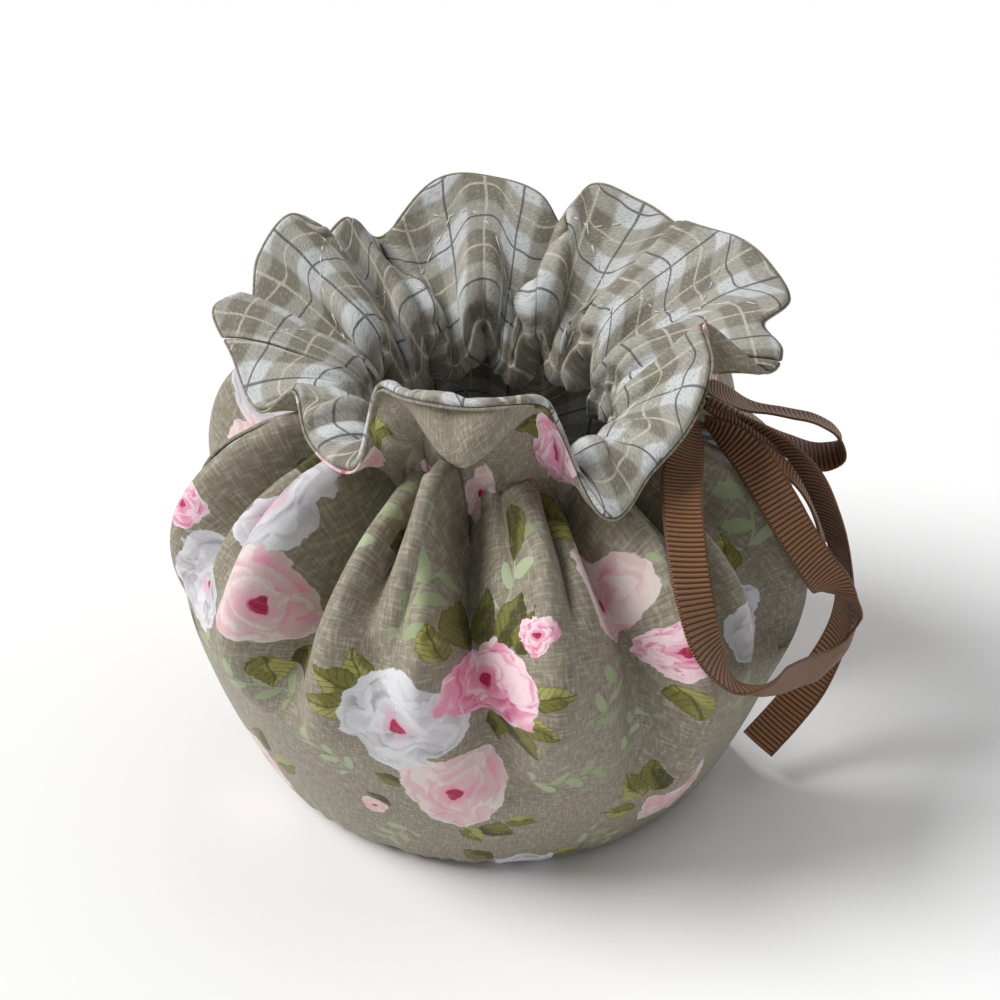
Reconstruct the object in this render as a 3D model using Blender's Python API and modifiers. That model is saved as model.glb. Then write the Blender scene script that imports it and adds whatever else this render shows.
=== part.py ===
"""Tea cosy: a gathered pouch of floral linen lined with checked cotton.

The cosy stands on its hem, open below for the pot, with a spout slit at -X and a handle slit at +X.
Its neck is drawn in by elastic, and above it the two layers turn out in a wide wavy frill that shows
the lining. A grosgrain ribbon is tied in a bow at the neck on the handle side.

Each layer is a front and a back panel. Both layers are offset from one shared middle surface, which is
worked out from the tables below. Azimuth is in degrees: 0 is the front (-Y), 90 the handle side (+X),
180 the back (+Y) and 270 the spout side (-X). Tables are in millimetres and degrees.
"""

import math

import bmesh
import bpy
import numpy as np
from mathutils import Vector

MM = 0.001

# Driving sizes, in millimetres.
CLOTH = 1.2
LAYER_GAP = 0.3
SEAM_GAP = 0.7
RIBBON_WIDTH = 10.0
RIBBON = 1.0
LIFT = CLOTH + LAYER_GAP / 2

# How finely each panel is divided, from seam to seam and from hem to rim.
PANEL_COLUMNS = 34
BODY_STATIONS = (0.0, 0.06, 0.13, 0.23, 0.38, 0.53, 0.66, 0.78, 0.88, 0.95, 1.0)
FRILL_STATIONS = (0.2, 0.42, 0.64, 0.84, 1.0)
RIBBON_STEP = 6.0

# A fold's strength just under the neck, the share of its length over which it comes up to full, and
# the step along the profile that gives the direction a fold rises in.
FOLD_AT_NECK = 0.4
FOLD_LEAD_IN = 0.25
PROFILE_STEP = 0.01

# The frill leaves the neck at this much outwards for each unit up. The pulls shape its bend.
NECK_LEAN = 0.25
NECK_PULL = 1.1
RIM_PULL = 0.9

# The body without folds: along is the part of the way from hem to neck.
# along, radius, height above the middle surface of the resting hem
BODY_PROFILE = (
    (0.00, 50.0, 0.0),
    (0.06, 56.5, 0.0),
    (0.12, 61.5, 1.5),
    (0.20, 66.0, 9.0),
    (0.30, 71.0, 21.0),
    (0.42, 76.0, 36.0),
    (0.54, 79.5, 51.0),
    (0.66, 79.0, 65.0),
    (0.77, 72.5, 78.0),
    (0.87, 59.5, 87.5),
    (0.94, 46.0, 92.5),
    (1.00, 34.5, 96.0),
)

# Folds that run down from the gathered neck.
# azimuth at the neck, azimuth at the lower end, half width, rise, where it dies out (as along)
BODY_FOLDS = (
    ("front hollow", -9, 3, 5, -4.0, 0.50),
    ("rose ridge", 13, 9, 4, 3.4, 0.45),
    ("right hollow", 30, 30, 5, -4.8, 0.42),
    ("right ridge", 42, 34, 5, 5.2, 0.20),
    ("handle hollow", 61, 58, 5, -3.6, 0.45),
    ("handle edge", 73, 70, 6, 2.6, 0.40),
    ("behind handle", 104, 108, 7, 3.0, 0.40),
    ("back fold 1", 117, 122, 6, -4.2, 0.36),
    ("back fold 2", 131, 134, 6, 4.0, 0.30),
    ("back fold 3", 145, 147, 6, -4.0, 0.42),
    ("back fold 4", 158, 157, 6, 3.4, 0.34),
    ("back fold 5", 171, 169, 6, -4.4, 0.36),
    ("back fold 6", 185, 184, 7, 4.4, 0.24),
    ("back fold 7", 199, 201, 6, -4.0, 0.40),
    ("back fold 8", 212, 216, 6, 3.4, 0.36),
    ("back fold 9", 225, 229, 6, -4.2, 0.38),
    ("back fold 10", 239, 241, 6, 3.8, 0.30),
    ("behind spout", 252, 249, 5, -2.6, 0.46),
    ("spout edge", 281, 286, 5, 3.6, 0.60),
    ("spout hollow", 288, 293, 4, -3.4, 0.62),
    ("left ridge", 307, 316, 6, 4.0, 0.50),
    ("left hollow", 323, 322, 5, -5.2, 0.52),
    ("broad ridge", 332, 328, 5, 3.0, 0.48),
    ("thin ridge", 343, 350, 4, 3.2, 0.58),
)

# The frill's rim, from the front round to the front again.
# azimuth at the neck, azimuth at the rim, reach, height, slope outwards there (degrees above level)
RIM = (
    ("front", 0, -7, 45.0, 125.0, 35),
    ("front right", 11, 13, 44.0, 125.0, 30),
    ("rose flap", 20, 20, 45.0, 118.0, 0),
    ("flap point", 31, 25, 60.0, 103.0, -35),
    ("flap side", 46, 42, 56.0, 107.0, -30),
    ("flap end", 59, 59, 56.0, 114.0, -10),
    ("flap top", 68, 73, 55.0, 121.0, 25),
    ("pinch", 77, 82, 52.0, 127.0, 45),
    ("right lower", 86, 82, 68.0, 115.0, -10),
    ("right lower tip", 93, 87, 71.0, 118.0, 0),
    ("right gap", 100, 93, 67.0, 121.0, 10),
    ("right tip", 107, 99, 75.0, 123.0, 0),
    ("right shoulder", 115, 107, 73.0, 128.0, 20),
    ("right top", 125, 116, 69.0, 131.0, 30),
    ("right back gap", 135, 129, 64.0, 129.0, 35),
    ("back right", 145, 143, 65.0, 130.0, 40),
    ("back right corner", 155, 156, 62.0, 132.0, 40),
    ("back gap", 163, 158, 52.0, 121.0, 50),
    ("back", 172, 167, 60.0, 128.0, 40),
    ("back middle", 182, 179, 64.0, 131.0, 35),
    ("back left", 193, 193, 65.0, 131.0, 40),
    ("back left gap", 204, 208, 60.0, 120.0, 50),
    ("left back", 215, 216, 65.0, 125.0, 40),
    ("left back gap", 226, 226, 61.0, 125.0, 45),
    ("left top", 236, 230, 69.0, 130.0, 35),
    ("left middle", 246, 240, 70.0, 123.0, 20),
    ("left gap", 255, 250, 66.0, 117.0, 10),
    ("left tip", 264, 256, 73.0, 117.0, 0),
    ("left side", 273, 264, 66.0, 110.0, -15),
    ("left low", 284, 276, 59.0, 102.0, -30),
    ("left hollow", 296, 284, 50.0, 111.0, 20),
    ("front left", 307, 299, 51.0, 105.0, -20),
    ("front left point", 320, 319, 51.0, 105.0, -25),
    ("front left rise", 336, 323, 42.0, 121.0, 20),
    ("front left top", 348, 336, 42.0, 123.0, 30),
)

# How far each seam stands open below the neck, in degrees either side of the seam.
# along, front edge, back edge
SPOUT_SLIT = (
    (0.00, 0.0, 0.0),
    (0.54, 0.0, 0.0),
    (0.66, 4.0, 6.0),
    (0.77, 9.0, 11.0),
    (0.87, 9.0, 10.0),
    (0.94, 3.0, 3.0),
    (1.00, 0.0, 0.0),
)
HANDLE_SLIT = (
    (0.00, 0.0, 0.0),
    (0.06, 2.0, 1.0),
    (0.12, 9.0, 3.0),
    (0.20, 19.0, 7.0),
    (0.30, 22.0, 9.0),
    (0.42, 18.0, 10.0),
    (0.54, 9.0, 9.0),
    (0.66, 6.0, 8.0),
    (0.77, 6.0, 8.0),
    (0.87, 5.0, 6.0),
    (0.94, 2.0, 2.0),
    (1.00, 0.0, 0.0),
)
SPOUT_SEAM = 270.0
HANDLE_SEAM = 90.0

# The bow at the neck. A ribbon's route is its middle line, and across points along its width.
# x, y, z, across x, across y, across z, share of the full width
KNOT_CENTRE = (47.5, -4.0, 102.5)
KNOT_SIZE = (8.0, 10.0, 9.0)
KNOT_ROUNDING = 2.4
BIG_LOOP = (
    (49.0, -10.5, 103.5, 0.5, -0.2, -0.8, 0.5),
    (48.5, -18.0, 102.0, 0.9, 0.1, -0.4, 0.7),
    (46.0, -30.0, 101.0, 0.9, 0.3, 0.0, 1.0),
    (45.0, -43.0, 99.5, 0.9, 0.3, 0.0, 1.0),
    (45.5, -55.0, 94.5, 0.9, 0.4, 0.0, 1.0),
    (47.0, -65.0, 87.5, 0.8, 0.5, 0.0, 1.0),
    (50.0, -70.5, 78.0, 0.7, 0.7, -0.1, 1.0),
    (55.5, -71.0, 69.5, 0.4, 0.9, -0.4, 1.0),
    (62.5, -66.0, 63.0, 0.1, 0.8, -0.7, 1.0),
    (70.5, -56.0, 56.5, 0.0, 0.4, -0.9, 1.0),
    (78.0, -45.0, 50.5, 0.0, 0.3, -0.9, 1.0),
    (85.5, -35.0, 46.0, 0.2, 0.5, -0.8, 1.0),
    (91.5, -27.5, 47.0, 0.3, 0.8, -0.5, 1.0),
    (93.0, -24.0, 53.5, -0.1, 0.9, 0.0, 1.0),
    (88.5, -26.5, 60.5, -0.5, 0.7, -0.4, 1.0),
    (82.5, -31.0, 70.0, -0.7, -0.3, -0.5, 1.0),
    (76.5, -31.0, 79.5, -0.7, -0.5, -0.4, 1.0),
    (70.0, -26.5, 89.5, -0.7, -0.4, -0.4, 1.0),
    (62.0, -15.5, 97.5, -0.7, -0.2, -0.5, 0.9),
    (53.5, -7.0, 101.0, -0.2, 0.6, -0.5, 0.5),
)
SMALL_LOOP = (
    (53.0, 0.5, 106.0, 0.2, 0.9, 0.1, 0.5),
    (60.0, 5.0, 100.0, 0.2, 0.9, -0.1, 0.8),
    (68.0, 8.5, 94.5, 0.1, 0.9, -0.3, 0.9),
    (76.0, 9.0, 92.5, 0.1, 0.9, -0.3, 1.0),
    (83.5, 9.0, 90.5, 0.1, 0.9, -0.3, 1.0),
    (89.5, 9.0, 86.0, 0.0, 0.9, -0.2, 1.0),
    (91.0, 9.0, 81.5, 0.0, 0.9, 0.0, 1.0),
    (87.0, 9.0, 79.5, -0.1, 0.9, 0.2, 1.0),
    (78.0, 8.5, 82.5, -0.1, 0.9, 0.2, 1.0),
    (69.5, 7.5, 88.0, -0.1, 0.9, 0.1, 0.9),
    (61.0, 4.5, 94.5, 0.0, 0.9, 0.1, 0.7),
    (53.5, 1.5, 101.0, 0.1, 0.9, 0.1, 0.4),
)
LONG_TAIL = (
    (53.5, -7.5, 106.5, 0.1, -0.9, 0.2, 0.4),
    (58.5, -9.5, 105.5, 0.2, -0.9, 0.3, 0.6),
    (64.0, -11.0, 103.0, 0.3, -0.9, 0.5, 0.8),
    (71.5, -12.5, 98.5, 0.4, -0.8, 0.5, 0.9),
    (78.5, -13.5, 91.0, 0.5, -0.8, 0.5, 1.0),
    (85.0, -14.0, 78.0, 0.5, -0.8, 0.3, 1.0),
    (90.0, -13.0, 61.5, 0.4, -0.9, 0.2, 1.0),
    (92.5, -10.5, 46.5, 0.3, -0.9, 0.0, 1.0),
    (91.5, -9.0, 33.5, 0.3, -0.9, -0.2, 1.0),
    (86.5, -11.5, 22.5, 0.3, -0.8, -0.4, 1.0),
    (78.5, -18.0, 15.0, 0.3, -0.7, -0.5, 1.0),
    (70.5, -25.0, 10.0, 0.3, -0.7, -0.5, 1.0),
)
SHORT_TAIL = (
    (53.5, -2.0, 97.0, 0.1, 0.9, 0.2, 0.4),
    (60.5, -3.5, 94.5, 0.1, 0.9, 0.1, 0.6),
    (69.5, -4.5, 88.5, 0.1, 0.9, 0.0, 0.8),
    (78.0, -4.5, 80.5, 0.1, 0.9, 0.0, 0.8),
    (84.0, -4.0, 69.5, 0.2, 0.9, 0.0, 0.8),
    (86.5, -3.5, 58.0, 0.2, 0.9, 0.0, 0.8),
)


def spline(table, column, where):
    """Values of one column of a table at any place along its first number, on a smooth curve."""
    keys = np.array([row[0] for row in table], float)
    values = np.array([row[column] for row in table], float)
    slopes = np.gradient(values, keys)
    place = np.clip(where, keys[0], keys[-1])
    left = np.clip(np.searchsorted(keys, place, side="right") - 1, 0, len(keys) - 2)
    span = keys[left + 1] - keys[left]
    t = (place - keys[left]) / span
    start = values[left] * (1 + 2 * t) * (1 - t) ** 2 + slopes[left] * span * t * (1 - t) ** 2
    end = values[left + 1] * (3 - 2 * t) * t**2 + slopes[left + 1] * span * (t - 1) * t**2
    return start + end


def spline_round(table, column, azimuth):
    """The same for a named table that runs once round, whose second number is an azimuth."""
    once = [(row[1], row[column] - (row[1] if column == 2 else 0)) for row in table]
    before = [(key - 360, value) for key, value in once[-3:]]
    after = [(key + 360, value) for key, value in once[:3]]
    turned = np.mod(azimuth, 360.0)
    found = spline(before + once + after, 1, turned)
    return found + (azimuth if column == 2 else 0)


def wave(offset, half_width):
    """A soft bump, 1 at its crest and 0 from twice its half width."""
    t = np.clip(np.abs(offset) / (2 * half_width), 0, 1)
    return (1 + np.cos(math.pi * t)) / 2


def around(azimuth, radius, height):
    """Points at these cylinder coordinates."""
    turn = np.radians(azimuth)
    x, y, z = np.broadcast_arrays(radius * np.sin(turn), -radius * np.cos(turn), height)
    return np.stack([x, y, z], -1)


def body(azimuth, along):
    """Points of the body's middle surface."""
    radius = spline(BODY_PROFILE, 1, along)
    height = spline(BODY_PROFILE, 2, along)
    ahead, behind = np.minimum(along + PROFILE_STEP, 1), np.maximum(along - PROFILE_STEP, 0)
    run = spline(BODY_PROFILE, 1, ahead) - spline(BODY_PROFILE, 1, behind)
    climb = spline(BODY_PROFILE, 2, ahead) - spline(BODY_PROFILE, 2, behind)
    length = np.hypot(run, climb)
    rise = np.zeros(np.broadcast(azimuth, along).shape)
    for _, top, foot, half_width, fold, end in BODY_FOLDS:
        down = np.clip((1 - along) / (1 - end), 0, 1)
        offset = np.mod(azimuth - top - (foot - top) * down + 180, 360) - 180
        strength = FOLD_AT_NECK + (1 - FOLD_AT_NECK) * np.clip(down / FOLD_LEAD_IN, 0, 1)
        fade = (1 - down**2) * strength
        rise = rise + fold * fade * wave(offset, half_width)
    return around(azimuth, radius + rise * climb / length, LIFT + height - rise * run / length)


def frill(azimuth, along):
    """Points of the frill's middle surface, from the neck at 0 to the rim at 1."""
    neck = body(azimuth, np.ones_like(azimuth))
    turned = spline_round(RIM, 2, azimuth)
    reach, height, over = (spline_round(RIM, column, azimuth) for column in (3, 4, 5))
    rim = around(turned, reach, LIFT + height)
    length = np.linalg.norm(rim - neck, axis=-1)[..., None]
    start = around(azimuth, NECK_LEAN, 1.0) * length * NECK_PULL
    slope = np.radians(over)
    finish = around(turned, np.cos(slope), np.sin(slope)) * length * RIM_PULL
    t = along[..., None]
    first = neck * (1 + 2 * t) * (1 - t) ** 2 + start * t * (1 - t) ** 2
    last = rim * (3 - 2 * t) * t**2 + finish * (t - 1) * t**2
    return first + last


def seam_azimuths(is_front, along):
    """The azimuths of a panel's two edges at each place along it."""
    gap = np.degrees(SEAM_GAP / 2 / spline(BODY_PROFILE, 1, along))
    column = 1 if is_front else 2
    spout = gap + np.maximum(spline(SPOUT_SLIT, column, along), 0)
    handle = gap + np.maximum(spline(HANDLE_SLIT, column, along), 0)
    if is_front:
        return SPOUT_SEAM - 360 + spout, HANDLE_SEAM - handle
    return HANDLE_SEAM + handle, SPOUT_SEAM - spout


def panel_points(is_front):
    """The middle surface of one panel: rows from hem to rim, columns from edge to edge."""
    share = np.linspace(0, 1, PANEL_COLUMNS + 1)[None, :]
    low = np.array(BODY_STATIONS)[:, None]
    first, last = seam_azimuths(is_front, low)
    lower = body(first + (last - first) * share, low)
    high = np.array(FRILL_STATIONS)[:, None]
    first, last = seam_azimuths(is_front, np.ones_like(high))
    upper = frill(first + (last - first) * share, high + 0 * share)
    return np.concatenate([lower, upper])


def surface_mesh(name, points):
    """An open sheet through rows of points, its faces turned the way the rows and columns go."""
    rows, columns = points.shape[:2]
    sheet = bmesh.new()
    bmesh.ops.create_grid(sheet, x_segments=columns - 1, y_segments=rows - 1, size=1.0)
    order = sorted(sheet.verts, key=lambda v: (round(v.co.y, 4), round(v.co.x, 4)))
    for vert, point in zip(order, points.reshape(-1, 3)):
        vert.co = Vector(point) * MM
    mesh = bpy.data.meshes.new(name)
    sheet.to_mesh(mesh)
    sheet.free()
    return mesh


def material(name, colour, roughness):
    """A plain cloth finish."""
    made = bpy.data.materials.new(name)
    made.use_nodes = True
    shader = made.node_tree.nodes["Principled BSDF"]
    shader.inputs["Base Color"].default_value = (*colour, 1)
    shader.inputs["Roughness"].default_value = roughness
    shader.inputs["Metallic"].default_value = 0
    return made


def sheet_object(name, points, thickness, side, finish, collection, root):
    """A sheet with its thickness on one side of the surface: 1 is outwards, -1 inwards, 0 both."""
    made = bpy.data.objects.new(name, surface_mesh(name, points))
    made.data.materials.append(finish)
    made.data.shade_smooth()
    solid = made.modifiers.new("Thickness", "SOLIDIFY")
    solid.thickness = thickness * MM
    solid.offset = side
    solid.use_even_offset = False
    collection.objects.link(made)
    made.parent = root
    return made


def grid_normals(points):
    """Unit normals of a sheet of points, outwards on the body."""
    across = np.gradient(points, axis=1)
    along = np.gradient(points, axis=0)
    normals = np.cross(across, along)
    return normals / np.linalg.norm(normals, axis=-1, keepdims=True)


def build_panels(collection, root):
    """The four cloth panels."""
    linen = material("floral_linen", (0.36, 0.32, 0.25), 0.8)
    check = material("checked_cotton", (0.42, 0.40, 0.36), 0.85)
    for is_front, end in ((True, "front"), (False, "back")):
        points = panel_points(is_front)
        shift = grid_normals(points) * LAYER_GAP / 2
        sheet_object(f"outer_{end}", points + shift, CLOTH, 1, linen, collection, root)
        sheet_object(f"lining_{end}", points - shift, CLOTH, -1, check, collection, root)


def ribbon_edges(route):
    """Two rows of points, one for each edge of a ribbon along a route, about a step apart."""
    places = np.array([row[:3] for row in route])
    walked = np.concatenate([[0], np.cumsum(np.linalg.norm(np.diff(places, axis=0), axis=1))])
    table = [(way, *row) for way, row in zip(walked, route)]
    steps = np.linspace(0, walked[-1], round(walked[-1] / RIBBON_STEP) + 1)
    middle = np.stack([spline(table, column, steps) for column in (1, 2, 3)], -1)
    across = np.stack([spline(table, column, steps) for column in (4, 5, 6)], -1)
    forward = np.gradient(middle, axis=0)
    forward /= np.linalg.norm(forward, axis=1, keepdims=True)
    across -= forward * np.sum(across * forward, axis=1, keepdims=True)
    across /= np.linalg.norm(across, axis=1, keepdims=True)
    half = spline(table, 7, steps)[:, None] * RIBBON_WIDTH / 2
    return np.stack([middle - across * half, middle + across * half])


def build_bow(collection, root):
    """The knot, two loops and two tails of the ribbon."""
    grosgrain = material("grosgrain_ribbon", (0.28, 0.18, 0.10), 0.6)
    routes = {
        "ribbon_loop_big": BIG_LOOP,
        "ribbon_loop_small": SMALL_LOOP,
        "ribbon_tail_long": LONG_TAIL,
        "ribbon_tail_short": SHORT_TAIL,
    }
    for name, route in routes.items():
        sheet_object(name, ribbon_edges(route), RIBBON, 0, grosgrain, collection, root)
    knot = bmesh.new()
    bmesh.ops.create_cube(knot, size=1.0)
    bmesh.ops.scale(knot, vec=Vector(KNOT_SIZE) * MM, verts=knot.verts)
    bmesh.ops.translate(knot, vec=Vector(KNOT_CENTRE) * MM, verts=knot.verts)
    mesh = bpy.data.meshes.new("ribbon_knot")
    knot.to_mesh(mesh)
    knot.free()
    mesh.materials.append(grosgrain)
    made = bpy.data.objects.new("ribbon_knot", mesh)
    rounded = made.modifiers.new("Rounded", "BEVEL")
    rounded.width = KNOT_ROUNDING * MM
    rounded.segments = 2
    collection.objects.link(made)
    made.parent = root


def centre_on_base(root, collection):
    """Moves everything so that the origin is under the middle of the whole cosy's box, on its hem."""
    bpy.context.view_layer.update()
    graph = bpy.context.evaluated_depsgraph_get()
    corners = []
    for part in collection.objects:
        if part.type == "MESH":
            shape = part.evaluated_get(graph).to_mesh()
            found = np.empty(len(shape.vertices) * 3, np.float32)
            shape.vertices.foreach_get("co", found)
            corners.append(found.reshape(-1, 3))
    corners = np.concatenate(corners)
    low, high = corners.min(0), corners.max(0)
    root.location = (-(low[0] + high[0]) / 2, -(low[1] + high[1]) / 2, -low[2])


def main():
    for old in list(bpy.data.objects):
        bpy.data.objects.remove(old, do_unlink=True)
    collection = bpy.data.collections.new("tea_cosy")
    bpy.context.scene.collection.children.link(collection)
    root = bpy.data.objects.new("cosy_base", None)
    collection.objects.link(root)
    build_panels(collection, root)
    build_bow(collection, root)
    centre_on_base(root, collection)


if __name__ == "__main__":
    main()
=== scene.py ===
"""Looks of the tea cosy: printed linen, quilted checked lining, gathers, stitches and a ribbon bow.

Azimuth is in degrees round the body's own axis: 0 is the front (-Y), 90 the handle side (+X), 180 the
back (+Y) and 270 the spout side (-X). Lengths in tables are in millimetres. A place on flat cloth is
(u, v): u runs round the cosy from the middle of a panel, v runs up from the hem to the rim.
"""

import math

import bmesh
import bpy
import numpy as np
from mathutils import Matrix, Vector


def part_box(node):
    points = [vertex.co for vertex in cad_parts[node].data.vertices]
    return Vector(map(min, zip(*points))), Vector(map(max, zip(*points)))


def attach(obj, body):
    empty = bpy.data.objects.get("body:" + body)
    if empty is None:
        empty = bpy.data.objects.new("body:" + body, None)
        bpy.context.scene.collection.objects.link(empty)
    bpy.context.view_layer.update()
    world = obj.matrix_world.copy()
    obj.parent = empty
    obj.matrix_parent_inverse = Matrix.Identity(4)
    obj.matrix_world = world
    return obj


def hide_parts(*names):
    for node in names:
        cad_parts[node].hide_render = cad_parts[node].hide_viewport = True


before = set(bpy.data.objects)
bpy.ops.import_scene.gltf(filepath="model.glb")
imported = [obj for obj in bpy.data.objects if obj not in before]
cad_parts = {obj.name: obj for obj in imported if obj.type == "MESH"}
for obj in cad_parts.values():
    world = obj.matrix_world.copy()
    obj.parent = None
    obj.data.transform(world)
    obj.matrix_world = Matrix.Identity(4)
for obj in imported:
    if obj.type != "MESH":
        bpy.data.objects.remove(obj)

bl_info = {
    "name": "Gathered tea cosy",
    "version": (1, 0, 0),
    "blender": (4, 5, 0),
    "location": "3D view > Sidebar > Tea cosy",
    "description": "Makes a gathered linen tea cosy with a quilted lining and a ribbon bow",
    "category": "Object",
}

MM = 0.001

# The cloth's layers, measured from the middle surface between them.
CLOTH = 1.2
LAYER_GAP = 0.3
SEAM_GAP = 0.12
LIFT = CLOTH + LAYER_GAP / 2
EDGE_ROUNDING = 0.8
MERGE_DISTANCE = 0.002

# How finely a panel is divided. The first columns and rows are close together, to round the edges.
EDGE_SHARES = (0.0, 0.0006, 0.0015, 0.003, 0.005)
PANEL_COLUMNS = 226
HEM_STATIONS = (0.0, 0.0012, 0.0030, 0.0058, 0.0095)
BODY_ROWS = 112
FRILL_ROWS = 44
RIM_ROWS = (0.975, 0.99, 1.0)

# The outer cloth is turned over the rim as a narrow welt.
WELT_OUTSIDE = 0.85
WELT_INSIDE = 0.15
WELT_SWELL = 2.0
WELT_STEPS = 8
WELT_TURN = 80.0
LINING_THINNING = 0.25

# Fullness: millimetres of flat cloth for each degree round the cosy.
OUTER_FULLNESS = 1.3875
LINING_FULLNESS = 1.15

# The body without folds: along is the part of the way from hem to neck.
# along, radius, height above the middle surface of the resting hem
BODY_PROFILE = (
    (0.00, 50.0, 0.0),
    (0.06, 56.5, 0.0),
    (0.12, 61.5, 1.5),
    (0.20, 66.0, 9.0),
    (0.30, 71.0, 21.0),
    (0.42, 76.0, 36.0),
    (0.54, 79.5, 51.0),
    (0.66, 79.0, 65.0),
    (0.77, 72.5, 78.0),
    (0.87, 59.5, 87.5),
    (0.94, 46.0, 92.5),
    (1.00, 34.5, 96.0),
)
FOLD_DEPTH = 2.8
FOLD_AT_NECK = 0.5
FOLD_LEAD_IN = 0.2
PROFILE_STEP = 0.01

# Folds that run down from the gathered neck.
# azimuth at the neck, azimuth at the lower end, half width, rise, where it dies out (as along)
BODY_FOLDS = (
    ("front hollow", -9, 3, 5, -5.0, 0.40),
    ("rose ridge", 13, 9, 4, 3.0, 0.45),
    ("right hollow", 26, 29, 4.5, -4.6, 0.36),
    ("right ridge", 35, 37, 3.5, 3.0, 0.22),
    ("handle hollow", 61, 58, 5, -3.6, 0.45),
    ("handle edge", 73, 70, 6, 1.2, 0.40),
    ("behind handle", 104, 108, 5, 0.9, 0.40),
    ("back fold 1", 117, 122, 6, -4.2, 0.36),
    ("back fold 2", 131, 134, 6, 4.0, 0.30),
    ("back fold 3", 145, 147, 6, -4.0, 0.42),
    ("back fold 4", 158, 157, 6, 3.4, 0.34),
    ("back fold 5", 171, 169, 6, -4.4, 0.36),
    ("back fold 6", 185, 184, 7, 4.4, 0.24),
    ("back fold 7", 199, 201, 6, -4.0, 0.40),
    ("back fold 8", 212, 216, 6, 3.4, 0.36),
    ("back fold 9", 225, 229, 6, -4.2, 0.38),
    ("back fold 10", 239, 241, 6, 3.8, 0.30),
    ("behind spout", 252, 249, 5, -2.6, 0.46),
    ("spout edge", 281, 286, 5, 3.6, 0.60),
    ("spout hollow", 288, 293, 4, -3.4, 0.62),
    ("left ridge", 307, 316, 6, 4.0, 0.50),
    ("left hollow", 323, 322, 5, -5.2, 0.52),
    ("broad ridge", 332, 328, 5, 3.0, 0.48),
    ("thin ridge", 343, 350, 4, 3.2, 0.58),
)
# Narrower creases between them.
FINE_FOLDS = (
    ("narrow hollow", 336, 334.6, 2.2, -2.4, 0.76),
    ("small ridge", 343, 339.4, 1.8, 2.0, 0.74),
    ("small hollow", 347, 344.2, 2.2, -1.8, 0.70),
    ("thin crest", 342, 349.5, 1.8, 1.4, 0.72),
    ("crease beside the rose ridge", 17, 12.7, 2.2, -2.2, 0.74),
    ("faint ridge", 20, 17, 2.0, 1.2, 0.70),
    ("right crease", 48, 45, 2.4, -2.2, 0.58),
    ("right small ridge", 53, 51, 2.2, 0.8, 0.55),
    ("handle crease", 67, 65, 2.0, -1.6, 0.60),
    ("left small hollow", 300, 308, 2.6, -2.2, 0.70),
    ("left small ridge", 295, 301, 2.2, 1.6, 0.66),
    ("left crease", 314, 319, 2.2, -1.8, 0.76),
    ("back crease 1", 112, 115, 2.4, -2.0, 0.66),
    ("back crease 2", 138, 140, 2.4, 1.8, 0.62),
    ("back crease 3", 152, 151, 2.2, -1.8, 0.70),
    ("back crease 4", 165, 164, 2.2, 1.8, 0.64),
    ("back crease 5", 178, 176, 2.4, -2.0, 0.68),
    ("back crease 6", 192, 193, 2.4, -1.8, 0.62),
    ("back crease 7", 206, 208, 2.2, 1.8, 0.66),
    ("back crease 8", 219, 222, 2.4, -1.8, 0.70),
    ("back crease 9", 232, 235, 2.2, 1.6, 0.64),
    ("back crease 10", 246, 246, 2.2, -1.8, 0.66),
)

# Tubes of gathered cloth at the neck: how many go round, how high they stand, and how far they reach
# below and above the neck.
TUBES_ROUND = 41
OUTER_TUBE = 2.2
LINING_TUBE = 3.2
TUBE_REACH_BELOW = 9.0
TUBE_REACH_ABOVE = 14.0
# Tubes are uneven: their places shift in waves round the cosy and their heights step from one to the
# next. A tube is fuller than a sine where its roundness is below 1.
# how far in tubes, waves round
TUBE_SHIFTS = ((0.55, 5), (0.35, 11))
TUBE_UNEVENNESS = 0.32
TUBE_STEP = 2.4
TUBE_ROUNDNESS = 0.62
# Two rows of stitches hold the elastic in the neck.
CASING_HALF = 4.0
CASING_PINCH = 1.1
CASING_TIGHTNESS = 0.8
# Above the casing the lining stands in puffs with deep hollows between them.
PUFFS_ROUND = 21
PUFF_DEPTH = 5.5
PUFF_MIDDLE = 10.0
PUFF_REACH = 10.0
# The hem is gathered too.
HEM_TUBES_ROUND = 58
HEM_TUBE = 1.3
HEM_REACH = 24.0

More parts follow.
